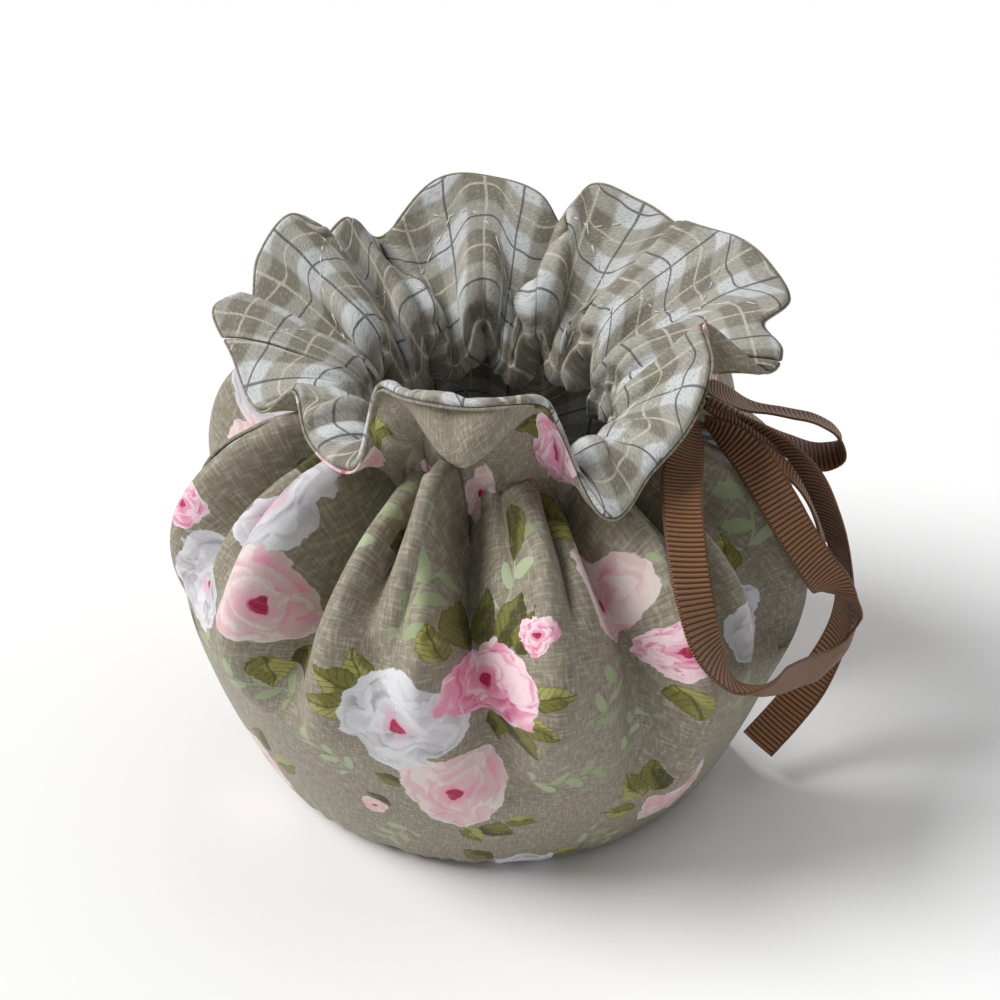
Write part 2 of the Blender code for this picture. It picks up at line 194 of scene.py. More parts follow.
# The frill's rim, from the front round to the front again.
# azimuth at the neck, azimuth at the rim, reach, height, slope outwards there (degrees above level)
RIM = (
    ("front", 0, -7, 48.5, 128.5, -15),
    ("front right", 11, 13, 47.5, 128.0, -15),
    ("rose flap", 20, 20, 45.0, 118.0, 0),
    ("flap point", 31, 25, 60.0, 103.0, -35),
    ("flap side", 46, 42, 56.0, 107.0, -30),
    ("flap end", 59, 59, 56.0, 114.0, -10),
    ("flap top", 68, 73, 55.0, 121.0, 25),
    ("pinch", 77, 82, 52.0, 127.0, 45),
    ("right lower", 86, 82, 68.0, 115.0, -10),
    ("right lower tip", 93, 87, 71.0, 118.0, 0),
    ("right gap", 100, 93, 67.0, 121.0, 10),
    ("right tip", 107, 99, 75.0, 123.0, 0),
    ("right shoulder", 115, 107, 73.0, 128.0, 20),
    ("right top", 125, 116, 69.0, 131.0, 30),
    ("right back gap", 135, 129, 64.0, 129.0, 35),
    ("back right", 145, 143, 65.0, 130.0, 40),
    ("back right corner", 155, 156, 62.0, 132.0, 40),
    ("back gap", 163, 158, 52.0, 121.0, 50),
    ("back", 172, 167, 60.0, 128.0, 40),
    ("back middle", 182, 179, 64.0, 131.0, 35),
    ("back left", 193, 193, 65.0, 131.0, 40),
    ("back left gap", 204, 208, 60.0, 120.0, 50),
    ("left back", 215, 216, 65.0, 125.0, 40),
    ("left back gap", 226, 226, 61.0, 125.0, 45),
    ("left top", 236, 230, 69.0, 130.0, 35),
    ("left middle", 246, 240, 70.0, 123.0, 20),
    ("left gap", 255, 250, 66.0, 117.0, 10),
    ("left tip", 264, 256, 73.0, 117.0, 0),
    ("left side", 273, 264, 66.0, 110.0, -15),
    ("left low", 284, 276, 59.0, 102.0, -30),
    ("left hollow", 296, 284, 50.0, 111.0, 20),
    ("front left", 307, 299, 51.0, 105.0, -20),
    ("front left point", 320, 319, 51.0, 105.0, -25),
    ("front left rise", 336, 323, 44.5, 125.5, -14),
    ("front left top", 348, 336, 47.5, 128.0, -15),
)
NECK_LEAN = 0.25
NECK_PULL = 1.1
RIM_PULL = 0.9

# Pleats where one lobe of the frill laps over the next: at the rim the cloth at the greater azimuth
# stands this far outwards, and the other side as far inwards.
# azimuth at the neck, half width, height, how sharp the step is (degrees)
FRILL_PLEATS = (
    ("right back pleat", 136, 9, 4.0, 1.3),
    ("back pleat", 163, 10, 5.0, 1.0),
    ("left back pleat", 204, 11, 5.5, 1.1),
    ("left pleat", 227, 10, -5.0, 1.2),
    ("spout pleat", 257, 9, -4.0, 1.3),
)
# Places where the frill sags outwards over the neck, in a V that is undercut below.
# azimuth at the neck, half width, how far up the frill, half height, outwards, upwards
FRILL_SAGS = (
    ("front dip", -4, 9, 0.53, 0.19, 13.0, -3.0),
    ("front left dip", -27, 6, 0.50, 0.24, 6.0, -2.0),
    ("front right dip", 19, 5, 0.50, 0.22, 5.0, -1.0),
)

SAG_SPREAD = 0.012
SAG_UNDERCUT = 2.0

# How far each seam stands open below the neck, in degrees either side of the seam.
# along, front edge, back edge
SPOUT_SLIT = (
    (0.00, 0.0, 0.0),
    (0.54, 0.0, 0.0),
    (0.66, 4.0, 6.0),
    (0.77, 9.0, 11.0),
    (0.87, 9.0, 10.0),
    (0.94, 3.0, 3.0),
    (1.00, 0.0, 0.0),
)
HANDLE_SLIT = (
    (0.00, 0.0, 0.0),
    (0.06, 2.0, 1.0),
    (0.12, 9.0, 3.0),
    (0.20, 19.0, 7.0),
    (0.30, 22.0, 9.0),
    (0.42, 18.0, 10.0),
    (0.54, 9.0, 9.0),
    (0.66, 6.0, 8.0),
    (0.77, 6.0, 8.0),
    (0.87, 5.0, 6.0),
    (0.94, 2.0, 2.0),
    (1.00, 0.0, 0.0),
)
SPOUT_SEAM = 270.0
HANDLE_SEAM = 90.0

# The bow at the neck. A ribbon's route is its middle line, and across points along its width.
# x, y, z, across x, across y, across z, share of the full width
KNOT_CENTRE = (47.5, -4.0, 102.5)
KNOT_SIZE = (8.0, 10.0, 9.0)
BIG_LOOP = (
    (49.0, -10.5, 103.5, 0.5, -0.2, -0.8, 0.5),
    (48.5, -18.0, 102.0, 0.9, 0.1, -0.4, 0.7),
    (46.0, -30.0, 101.0, 0.9, 0.3, 0.0, 1.0),
    (45.0, -43.0, 99.5, 0.9, 0.3, 0.0, 1.0),
    (45.5, -55.0, 94.5, 0.9, 0.4, 0.0, 1.0),
    (47.0, -65.0, 87.5, 0.8, 0.5, 0.0, 1.0),
    (50.0, -70.5, 78.0, 0.7, 0.7, -0.1, 1.0),
    (55.5, -71.0, 69.5, 0.4, 0.9, -0.4, 1.0),
    (62.5, -66.0, 63.0, 0.1, 0.8, -0.7, 1.0),
    (70.5, -56.0, 56.5, 0.0, 0.4, -0.9, 1.0),
    (78.0, -45.0, 50.5, 0.0, 0.3, -0.9, 1.0),
    (85.5, -35.0, 46.0, 0.2, 0.5, -0.8, 1.0),
    (91.5, -27.5, 47.0, 0.3, 0.8, -0.5, 1.0),
    (93.0, -24.0, 53.5, -0.1, 0.9, 0.0, 1.0),
    (88.5, -26.5, 60.5, -0.5, 0.7, -0.4, 1.0),
    (82.5, -31.0, 70.0, -0.7, -0.3, -0.5, 1.0),
    (76.5, -31.0, 79.5, -0.7, -0.5, -0.4, 1.0),
    (70.0, -26.5, 89.5, -0.7, -0.4, -0.4, 1.0),
    (62.0, -15.5, 97.5, -0.7, -0.2, -0.5, 0.9),
    (53.5, -7.0, 101.0, -0.2, 0.6, -0.5, 0.5),
)
SMALL_LOOP = (
    (53.0, 0.5, 106.0, 0.2, 0.9, 0.1, 0.5),
    (60.0, 5.0, 100.0, 0.2, 0.9, -0.1, 0.8),
    (68.0, 8.5, 94.5, 0.1, 0.9, -0.3, 0.9),
    (76.0, 9.0, 92.5, 0.1, 0.9, -0.3, 1.0),
    (83.5, 9.0, 90.5, 0.1, 0.9, -0.3, 1.0),
    (89.5, 9.0, 86.0, 0.0, 0.9, -0.2, 1.0),
    (91.0, 9.0, 81.5, 0.0, 0.9, 0.0, 1.0),
    (87.0, 9.0, 79.5, -0.1, 0.9, 0.2, 1.0),
    (78.0, 8.5, 82.5, -0.1, 0.9, 0.2, 1.0),
    (69.5, 7.5, 88.0, -0.1, 0.9, 0.1, 0.9),
    (61.0, 4.5, 94.5, 0.0, 0.9, 0.1, 0.7),
    (53.5, 1.5, 101.0, 0.1, 0.9, 0.1, 0.4),
)
LONG_TAIL = (
    (53.5, -7.5, 106.5, 0.1, -0.9, 0.2, 0.4),
    (58.5, -9.5, 105.5, 0.2, -0.9, 0.3, 0.6),
    (64.0, -11.0, 103.0, 0.3, -0.9, 0.5, 0.8),
    (71.5, -12.5, 98.5, 0.4, -0.8, 0.5, 0.9),
    (78.5, -13.5, 91.0, 0.5, -0.8, 0.5, 1.0),
    (85.0, -14.0, 78.0, 0.5, -0.8, 0.3, 1.0),
    (90.0, -13.0, 61.5, 0.4, -0.9, 0.2, 1.0),
    (92.5, -10.5, 46.5, 0.3, -0.9, 0.0, 1.0),
    (91.5, -9.0, 33.5, 0.3, -0.9, -0.2, 1.0),
    (86.5, -11.5, 22.5, 0.3, -0.8, -0.4, 1.0),
    (78.5, -18.0, 15.0, 0.3, -0.7, -0.5, 1.0),
    (70.5, -25.0, 10.0, 0.3, -0.7, -0.5, 1.0),
)
SHORT_TAIL = (
    (53.5, -2.0, 97.0, 0.1, 0.9, 0.2, 0.4),
    (60.5, -3.5, 94.5, 0.1, 0.9, 0.1, 0.6),
    (69.5, -4.5, 88.5, 0.1, 0.9, 0.0, 0.8),
    (78.0, -4.5, 80.5, 0.1, 0.9, 0.0, 0.8),
    (84.0, -4.0, 69.5, 0.2, 0.9, 0.0, 0.8),
    (86.5, -3.5, 58.0, 0.2, 0.9, 0.0, 0.8),
)
RIBBON_STEP = 1.2
RIBBON_COLUMNS = 10
RIBBON_CROWN = 0.5
# A ribbon that is squeezed by the knot is crowned this many times more.
SQUEEZED_CROWN = 4
KNOT_DIVISIONS = (48, 28)
KNOT_CREASE = 0.05
KNOT_CREASE_RATE = 22

# The printed roses, on the flat cloth. A later row lies over an earlier one.
# u, v, radius, turn, colouring (0 pink, 1 white, 2 pale)
ROSES = (
    ("centre pale", -11, 60, 17.0, 20, 2),
    ("centre white", -21, 81, 17.0, 160, 1),
    ("centre pink", -2, 95, 14.0, 0, 0),
    ("bud above", 11, 106, 4.2, 70, 0),
    ("low bud", -32, 46, 4.2, 200, 2),
    ("left white", -76, 116, 13.5, 40, 1),
    ("left pink", -64, 101, 10.8, 90, 2),
    ("right pale", 37, 114, 12.5, 250, 2),
    ("right pink", 47, 97, 7.5, 30, 0),
    ("far right white", 77, 90, 13.0, 310, 1),
    ("low right", 54, 37, 13.0, 120, 2),
    ("far left white", -93, 91, 13.5, 80, 1),
    ("far left bud", -106, 104, 5.0, 10, 0),
    ("hem rose", -80, 35, 13.5, 280, 2),
    ("hem white", 8, 14, 13.0, 60, 1),
    ("handle pale", 104, 52, 14.0, 170, 2),
    ("handle pink", 112, 74, 13.0, 220, 0),
    ("neck bud", -34, 141, 4.5, 0, 0),
    ("neck white", -7, 140, 9.0, 90, 2),
    ("flap rose", 30, 156, 13.0, 200, 0),
    ("frill left rose", -62, 164, 14.0, 30, 2),
    ("frill left white", -84, 170, 12.0, 130, 1),
    ("frill right rose", 104, 160, 13.5, 300, 0),
    ("frill back white", 84, 150, 11.0, 330, 1),
)
# Leaves, each with its foot here, then the way it points and its length.
# u, v, direction, length, colouring (0 yellow green, 1 dark olive)
LEAVES = (
    ("by the white rose 1", -30, 90, 118, 12, 0),
    ("by the white rose 2", -31, 90, 152, 12, 0),
    ("by the white rose 3", -33, 87, 182, 11, 0),
    ("over the pink rose 1", -8, 104, 112, 14, 1),
    ("over the pink rose 2", -2, 106, 84, 13, 1),
    ("over the pink rose 3", 3, 105, 55, 12, 1),
    ("bud stalk", 7, 103, 60, 9, 1),
    ("small one on the left", -13, 101, 125, 8, 0),
    ("right of the pink rose", 9, 93, 12, 9, 0),
    ("under the pink rose 1", 3, 83, -42, 11, 1),
    ("under the pink rose 2", 0, 82, -75, 10, 1),
    ("under the pink rose 3", 6, 87, -18, 9, 0),
    ("left of the pale rose", -22, 60, 165, 8, 1),
    ("low bud leaf", -27, 48, 150, 8, 1),
    ("under the pale rose 1", -8, 43, -60, 10, 0),
    ("under the pale rose 2", -4, 43, -20, 11, 1),
    ("under the pale rose 3", 3, 46, -5, 9, 0),
    ("under the left pink 1", -56, 92, -35, 11, 1),
    ("under the left pink 2", -60, 90, -75, 10, 0),
    ("left top 1", -92, 122, 70, 13, 1),
    ("left top 2", -97, 121, 110, 12, 1),
    ("over the right rose 1", 29, 122, 108, 13, 0),
    ("over the right rose 2", 33, 125, 72, 12, 1),
    ("under the right rose", 46, 88, -70, 10, 0),
    ("low right 1", 42, 45, 125, 12, 0),
    ("low right 2", 45, 48, 95, 11, 1),
    ("low right 3", 41, 40, 165, 11, 0),
    ("far right 1", 84, 102, 60, 12, 0),
    ("far right 2", 78, 104, 95, 12, 1),
    ("far left 1", -102, 84, 200, 11, 0),
    ("far left 2", -96, 78, 250, 11, 1),
    ("hem left 1", -68, 42, 30, 12, 0),
    ("hem left 2", -72, 46, 70, 11, 1),
    ("hem front 1", 18, 20, 25, 12, 0),
    ("hem front 2", 0, 22, 140, 12, 1),
    ("handle 1", 100, 66, 150, 12, 0),
    ("handle 2", 118, 62, -30, 12, 1),
    ("neck olive 1", -12, 134, -80, 10, 1),
    ("neck olive 2", 12, 131, 250, 11, 1),
    ("neck olive 3", -30, 128, 230, 10, 1),
    ("flap 1", 22, 158, 190, 12, 1),
    ("flap 2", 24, 166, 150, 12, 1),
    ("flap 3", 45, 170, 30, 12, 0),
    ("frill left 1", -50, 168, 30, 12, 1),
    ("frill left 2", -48, 160, -20, 12, 0),
    ("frill right 1", 92, 166, 140, 13, 1),
    ("frill right 2", 118, 166, 40, 12, 1),
    ("frill right 3", 90, 158, 200, 12, 0),
)
# Pale twigs: the foot of the stalk, the way it runs, and the distance between its leaves.
# u, v, direction, pitch
TWIGS = (
    ("right middle", 24, 82, 62, 6.9),
    ("right low", 10, 62, 12, 6.9),
    ("left low", -36, 60, 140, 6.5),
    ("left", -52, 78, 160, 6.5),
    ("over the white rose", -22, 104, 75, 6.5),
    ("front top", 4, 112, 60, 6.5),
    ("right top", 50, 112, 55, 6.5),
    ("right lower", 32, 62, 60, 6.0),
    ("bottom left", -24, 38, 230, 6.5),
    ("bottom right", 26, 34, 320, 6.5),
    ("far left", -84, 70, 110, 6.5),
    ("left top", -44, 116, 80, 6.5),
    ("far right", 66, 66, 40, 6.5),
    ("right side", 92, 104, 60, 6.5),
    ("spout side", -112, 62, 70, 6.5),
    ("frill front", -12, 158, 20, 6.5),
    ("frill right", 62, 152, 50, 6.5),
    ("frill left", -100, 150, 100, 6.5),
)
TWIG_LEAVES = 2.6
PRINT_REACH = {"rose": 1.3, "leaf": 1.15, "twig": 1.0}
BEHIND_FOOT = 0.15
BACK_PRINT_SHIFT = 88.0
# What is painted, from the lowest layer to the top. A face far from every motif is this far from it.
PRINT_LAYERS = ("twig_upper", "leaf_lower", "leaf_upper", "rose_lower", "rose_upper")
NO_MOTIF = 9.0
# Rings of petals inside a rose's outline: radius, petals, turn.
PETAL_RINGS = ((0.66, 5, 0.7), (0.43, 3, 2.0), (0.24, 3, 0.4))

# The lining's quilting: diagonal lines this far apart along u, and where two of them cross.
QUILT_SPACING = 46.0
QUILT_CROSSING = (197.8, 150.0)
QUILT_GROOVE = 0.55
QUILT_GROOVE_WIDTH = 2.2
STITCH_PITCH = 4.4
STITCH_LENGTH = 2.9
STITCH_THICKNESS = 0.42
STITCH_SINK = 0.05
STITCH_START = 1.5
# How far the stitches keep from the hem, from the seams and from the rim.
HEM_MARGIN = 2.0
SEAM_MARGIN = 2.0
RIM_MARGIN = 5.0

# The painted motifs, in their own measure: a rose's radius, a leaf's length or a twig's pitch is 1.
SEED_SPREAD = 83.0
SECOND_KIND = (0.4, 0.6)
THIRD_KIND = (1.4, 1.6)
ROSE_BEND = 0.55
ROSE_OUTLINE = 0.86
ROSE_HEART = (0.16, 0.11)
ROSE_FLUSH = (0.40, 0.16)
ROSE_EDGE = (0.012, -0.012)
LEAF_HALF_WIDTH = 0.34
LEAF_RIB = (0.030, 0.012)
LEAF_RIM = (0.065, 0.02)
# A twig's leaf stands at a slant, whose cosine and sine these are.
TWIG_SLANT = (0.62, 0.78)
TWIG_LEAF_FOOT = 0.12
TWIG_LEAF_MIDDLE = 0.46
TWIG_LEAF_HALVES = (0.44, 0.20)
TWIG_STALK = (0.045, 0.025)
# The weaves: how fast their noise runs across and along a thread, for each millimetre.
LINEN_THREAD = (1.9, 0.34)
TWILL_THREAD = (2.8, 0.5)
CHECK_THREAD = (2.6, 0.5)
# The check, as shares of its repeat away from a charcoal line.
BAND_EDGE = (0.29, 0.20)
CHARCOAL_EDGE = (0.022, 0.010)
CREAM_EDGE = (0.474, 0.490)
# The ribbon's plain edge, as shares of its half width.
SELVEDGE = (0.88, 0.94)

# The camera and the lights.
VIEW_ELEVATION = 35.0
VIEW_DISTANCE = 600.0
VIEW_TARGET = (0.0, 0.0, 60.0)
VIEW_LENS = 82.1
VIEW_SHIFT = (0.007, 0.037)
FLOOR_HALF = 40.0
FLOOR_SHADE = 0.95
SKY_STRENGTH = 0.27
# name, place, angular size in degrees, strength
LIGHTS = (
    ("key", (-0.85, 0.0, 0.8), 34.0, 2.9),
    ("fill", (0.5, 0.6, 0.9), 70.0, 0.7),
)


def display(red, green, blue):
    """A linear colour from the three numbers a screen shows it with, each up to 255."""
    shares = (red / 255, green / 255, blue / 255)
    return tuple(c / 12.92 if c <= 0.04045 else ((c + 0.055) / 1.055) ** 2.4 for c in shares)


# ---------------------------------------------------------------------------------------------------
# Shapes
# ---------------------------------------------------------------------------------------------------


def spline(table, column, where):
    """Values of one column of a table at any place along its first number, on a smooth curve."""
    keys = np.array([row[0] for row in table], float)
    values = np.array([row[column] for row in table], float)
    slopes = np.gradient(values, keys)
    place = np.clip(where, keys[0], keys[-1])
    left = np.clip(np.searchsorted(keys, place, side="right") - 1, 0, len(keys) - 2)
    span = keys[left + 1] - keys[left]
    t = (place - keys[left]) / span
    start = values[left] * (1 + 2 * t) * (1 - t) ** 2 + slopes[left] * span * t * (1 - t) ** 2
    end = values[left + 1] * (3 - 2 * t) * t**2 + slopes[left + 1] * span * (t - 1) * t**2
    return start + end


def spline_round(table, column, azimuth):
    """The same for a named table that runs once round, whose second number is an azimuth."""
    once = [(row[1], row[column] - (row[1] if column == 2 else 0)) for row in table]
    before = [(key - 360, value) for key, value in once[-3:]]
    after = [(key + 360, value) for key, value in once[:3]]
    turned = np.mod(azimuth, 360.0)
    found = spline(before + once + after, 1, turned)
    return found + (azimuth if column == 2 else 0)


def turn_between(azimuth, centre):
    """How far round an azimuth is from another, from -180 to 180 degrees."""
    return np.mod(azimuth - centre + 180, 360) - 180


def wave(offset, half_width):
    """A soft bump, 1 at its crest and 0 from twice its half width."""
    t = np.clip(np.abs(offset) / (2 * half_width), 0, 1)
    return (1 + np.cos(math.pi * t)) / 2


def around(azimuth, radius, height):
    """Points at these cylinder coordinates."""
    turn = np.radians(azimuth)
    x, y, z = np.broadcast_arrays(radius * np.sin(turn), -radius * np.cos(turn), height)
    return np.stack([x, y, z], -1)


def tubes(azimuth, count, drift):
    """Gathered tubes of cloth: 0 in the creases, up to 1 on the crests, uneven in width and height."""
    turn = np.radians(azimuth)
    place = azimuth / 360 * count
    for number, (shift, waves) in enumerate(TUBE_SHIFTS, 1):
        place = place + shift * np.sin(waves * turn + number * drift)
    uneven = 1 - TUBE_UNEVENNESS + TUBE_UNEVENNESS * np.sin(np.floor(place) * TUBE_STEP + drift)
    return np.abs(np.sin(math.pi * place)) ** TUBE_ROUNDNESS * uneven


def profile_length():
    """How long the body's profile is from hem to neck."""
    radius = np.array([row[1] for row in BODY_PROFILE])
    height = np.array([row[2] for row in BODY_PROFILE])
    return float(np.hypot(np.diff(radius), np.diff(height)).sum())


BODY_LENGTH = profile_length()


def body(azimuth, along):
    """Points of the body's middle surface."""
    radius = spline(BODY_PROFILE, 1, along)
    height = spline(BODY_PROFILE, 2, along)
    ahead, behind = np.minimum(along + PROFILE_STEP, 1), np.maximum(along - PROFILE_STEP, 0)
    run = spline(BODY_PROFILE, 1, ahead) - spline(BODY_PROFILE, 1, behind)
    climb = spline(BODY_PROFILE, 2, ahead) - spline(BODY_PROFILE, 2, behind)
    length = np.hypot(run, climb)
    rise = np.zeros(np.broadcast(azimuth, along).shape)
    for _, top, foot, half_width, fold, end in BODY_FOLDS + FINE_FOLDS:
        down = np.clip((1 - along) / (1 - end), 0, 1)
        offset = turn_between(azimuth, top + (foot - top) * down)
        strength = FOLD_AT_NECK + (1 - FOLD_AT_NECK) * np.clip(down / FOLD_LEAD_IN, 0, 1)
        rise = rise + FOLD_DEPTH * fold * (1 - down**3) * strength * wave(offset, half_width)
    hem_fade = np.exp(-((along * BODY_LENGTH / HEM_REACH) ** 2))
    rise = rise - HEM_TUBE * hem_fade * tubes(azimuth, HEM_TUBES_ROUND, 1.0)
    return around(azimuth, radius + rise * climb / length, LIFT + height - rise * run / length)


def frill(azimuth, along):
    """Points of the frill's middle surface, from the neck at 0 to the rim at 1."""
    neck = body(azimuth, np.ones_like(azimuth))
    turned = spline_round(RIM, 2, azimuth)
    reach, height, over = (spline_round(RIM, column, azimuth) for column in (3, 4, 5))
    rim = around(turned, reach, LIFT + height)
    length = np.linalg.norm(rim - neck, axis=-1)[..., None]
    start = around(azimuth, NECK_LEAN, 1.0) * length * NECK_PULL
    slope = np.radians(over)
    finish = around(turned, np.cos(slope), np.sin(slope)) * length * RIM_PULL
    t = along[..., None]
    first = neck * (1 + 2 * t) * (1 - t) ** 2 + start * t * (1 - t) ** 2
    last = rim * (3 - 2 * t) * t**2 + finish * (t - 1) * t**2
    points = first + last
    for _, centre, half_width, up, half_height, out, lift in FRILL_SAGS:
        offset = turn_between(azimuth, centre)
        climb = along - up - SAG_SPREAD * np.abs(offset)
        climb = np.where(climb < 0, climb * SAG_UNDERCUT, climb)
        amount = (wave(offset, half_width) * wave(climb, half_height))[..., None]
        points = points + amount * around(azimuth, out, lift)
    return points


def frill_pleats(azimuth, along):
    """How far the pleats move the frill outwards."""
    rise = np.zeros(np.broadcast(azimuth, along).shape)
    for _, centre, half_width, height, sharp in FRILL_PLEATS:
        offset = turn_between(azimuth, centre)
        near = np.clip(1 - np.abs(offset) / half_width, 0, 1) ** 1.5
        rise = rise + height * np.tanh(offset / sharp) * near
    return rise * np.sin(np.clip(along, 0, 1) * math.pi / 2) ** 1.5


def seam_azimuths(is_front, along):
    """The azimuths of a panel's two edges at each place along it."""
    gap = np.degrees(SEAM_GAP / 2 / spline(BODY_PROFILE, 1, along))
    column = 1 if is_front else 2
    spout = gap + np.maximum(spline(SPOUT_SLIT, column, along), 0)
    handle = gap + np.maximum(spline(HANDLE_SLIT, column, along), 0)
    if is_front:
        return SPOUT_SEAM - 360 + spout, HANDLE_SEAM - handle
    return HANDLE_SEAM + handle, SPOUT_SEAM - spout


def unit(vectors):
    """The same directions, one long."""
    return vectors / np.linalg.norm(vectors, axis=-1, keepdims=True)


def surface_normals(points):
    """Unit normals of a sheet of points, outwards on the body."""
    return unit(np.cross(np.gradient(points, axis=1), np.gradient(points, axis=0)))


class Panel:
    """The middle surface of the front or the back: rows from hem to rim, columns from seam to seam."""

    def __init__(self, is_front):
        edge = np.array(EDGE_SHARES)
        inner = np.linspace(edge[-1], 1 - edge[-1], PANEL_COLUMNS)[1:-1]
        self.share = np.concatenate([edge, inner, 1 - edge[::-1]])[None, :]
        low = np.concatenate([HEM_STATIONS, np.linspace(HEM_STATIONS[-1], 1, BODY_ROWS)[1:]])[:, None]
        high = np.concatenate([np.linspace(0, RIM_ROWS[0], FRILL_ROWS)[1:-1], RIM_ROWS])[:, None]
        first, last = seam_azimuths(is_front, low)
        low_azimuth = first + (last - first) * self.share
        first, last = seam_azimuths(is_front, np.ones_like(high))
        high_azimuth = first + (last - first) * self.share
        self.azimuth = np.concatenate([low_azimuth, high_azimuth])
        self.points = np.concatenate([body(low_azimuth, low), frill(high_azimuth, high)])
        up = np.concatenate([np.zeros_like(low), high])
        self.points += surface_normals(self.points) * frill_pleats(self.azimuth, up)[..., None]
        self.normals = surface_normals(self.points)
        self.neck_row = len(low) - 1
        steps = np.linalg.norm(np.diff(self.points, axis=0), axis=-1)
        walked = np.concatenate([np.zeros((1, steps.shape[1])), np.cumsum(steps, axis=0)])
        above = walked - walked[self.neck_row]
        self.v = above + BODY_LENGTH
        self.v[: self.neck_row] = low[:-1] * BODY_LENGTH
        self.from_neck = self.v - BODY_LENGTH
        self.from_rim = walked[-1] - walked
        self.middle = 0.0 if is_front else 180.0
        self.turn = self.azimuth - self.middle
        width = np.linalg.norm(np.diff(self.points, axis=1), axis=-1).sum(axis=1)[:, None]
        from_seam = np.minimum(self.share, 1 - self.share) * width
        self.edge = rounding(np.minimum(from_seam, walked))
        self.side_edge = rounding(from_seam)

    def out_at_rim(self):
        """The direction that leads off the rim, away from the neck."""
        return unit(self.points[-1] - self.points[-2])


def rounding(distance):
    """How thick the cloth is this far from its edge, as a share of its full thickness."""
    t = np.clip(distance / EDGE_ROUNDING, 0, 1)
    return np.sqrt(np.clip(1 - (1 - t) ** 2, 0, 1))


def neck_gather(panel, height, drift):
    """How far the gathered tubes stand off the cloth near the neck."""
    reach = np.where(panel.from_neck < 0, TUBE_REACH_BELOW, TUBE_REACH_ABOVE)
    fade = np.exp(-((panel.from_neck / reach) ** 2))
    from_stitches = np.abs(panel.from_neck) - CASING_HALF
    pinch = 1 - CASING_TIGHTNESS * np.exp(-((from_stitches / CASING_PINCH) ** 2))
    return height * fade * pinch * tubes(panel.azimuth, TUBES_ROUND, drift)


def lining_puffs(panel):
    """How far the lining's puffs stand off the cloth above the casing."""
    fade = np.exp(-(((panel.from_neck - PUFF_MIDDLE) / PUFF_REACH) ** 2))
    return PUFF_DEPTH * fade * tubes(panel.azimuth, PUFFS_ROUND, 5.0)


def quilt_lines(u, v):
    """The distance from the nearest quilting line of either direction."""
    up = (u + v - sum(QUILT_CROSSING)) / QUILT_SPACING
    down = (u - v - QUILT_CROSSING[0] + QUILT_CROSSING[1]) / QUILT_SPACING
    up, down = np.abs(up - np.round(up)), np.abs(down - np.round(down))
    return np.minimum(up, down) * QUILT_SPACING / math.sqrt(2)


def outer_surfaces(panel):
    """The outer cloth's face and back, with the welt turned over the rim, and its flat places."""
    swell = np.clip(1 - panel.from_rim / WELT_SWELL, 0, 1)
    swell = swell * swell * (3 - 2 * swell)
    inside = LAYER_GAP / 2 + (WELT_INSIDE - LAYER_GAP / 2) * swell
    full = LIFT + (WELT_OUTSIDE - LIFT) * swell + neck_gather(panel, OUTER_TUBE, 0.4)
    face = panel.points + panel.normals * (inside + (full - inside) * panel.edge)[..., None]
    back = panel.points + panel.normals * inside[..., None]
    off, out, rim = panel.out_at_rim(), panel.normals[-1], panel.points[-1]
    thick = (WELT_OUTSIDE - WELT_INSIDE) * panel.side_edge[-1]
    face_rows, back_rows, steps = [face], [back], []
    angles = np.radians(np.linspace(0, WELT_TURN, WELT_STEPS)[1:])
    for angle in angles:
        last = angle == angles[-1]
        way = off * math.sin(angle) + out * math.cos(angle)
        face_rows.append((rim + way * (WELT_INSIDE + thick * (0.5 if last else 1.0))[:, None])[None])
        back_rows.append((rim + way * (WELT_INSIDE + thick * (0.5 if last else 0.0))[:, None])[None])
        steps.append(angle * WELT_OUTSIDE)
    v = np.concatenate([panel.v] + [(panel.v[-1] + step)[None] for step in steps])
    u = np.concatenate([panel.turn] + [panel.turn[-1:]] * len(steps)) * OUTER_FULLNESS
    return np.concatenate(face_rows), np.concatenate(back_rows), np.stack([u, v], -1)


def lining_surfaces(panel):
    """The lining's face, which is the inner one, its back, and its flat places."""
    u = panel.turn * LINING_FULLNESS + panel.middle * LINING_FULLNESS
    groove = QUILT_GROOVE * np.exp(-((quilt_lines(u, panel.v) / QUILT_GROOVE_WIDTH) ** 2))
    swell = np.clip(1 - panel.from_rim / WELT_SWELL, 0, 1)
    depth = CLOTH - groove * (1 - swell) - LINING_THINNING * swell
    depth = depth + neck_gather(panel, LINING_TUBE, 2.1) + lining_puffs(panel)
    edge = panel.edge * rounding(panel.from_rim)
    face = panel.points - panel.normals * (LAYER_GAP / 2 + depth * edge)[..., None]
    back = panel.points - panel.normals * LAYER_GAP / 2
    return face, back, np.stack([u, panel.v], -1)


def body_axis():
    """Where the body's own axis stands in the frame, found from the knot."""
    low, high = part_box("ribbon_knot")
    middle = (np.array(low) + np.array(high)) / 2 / MM
    return np.array([middle[0] - KNOT_CENTRE[0], middle[1] - KNOT_CENTRE[1], 0.0])


AXIS = body_axis()


def add_grid(target, layer, points, places, flip):
    """Adds a sheet through rows of points to a bmesh, with each vertex's place on the flat cloth."""
    rows, columns = points.shape[:2]
    made = bmesh.ops.create_grid(target, x_segments=columns - 1, y_segments=rows - 1, size=1.0)
    order = sorted(made["verts"], key=lambda v: (round(v.co.y, 4), round(v.co.x, 4)))
    spots = ((points + AXIS) * MM).reshape(-1, 3).tolist()
    for vert, spot, place in zip(order, spots, places.reshape(-1, 2).tolist()):
        vert.co = spot
        vert[layer] = (place[0], place[1], 0.0)
    if flip:
        faces = {face for vert in made["verts"] for face in vert.link_faces}
        bmesh.ops.reverse_faces(target, faces=list(faces))


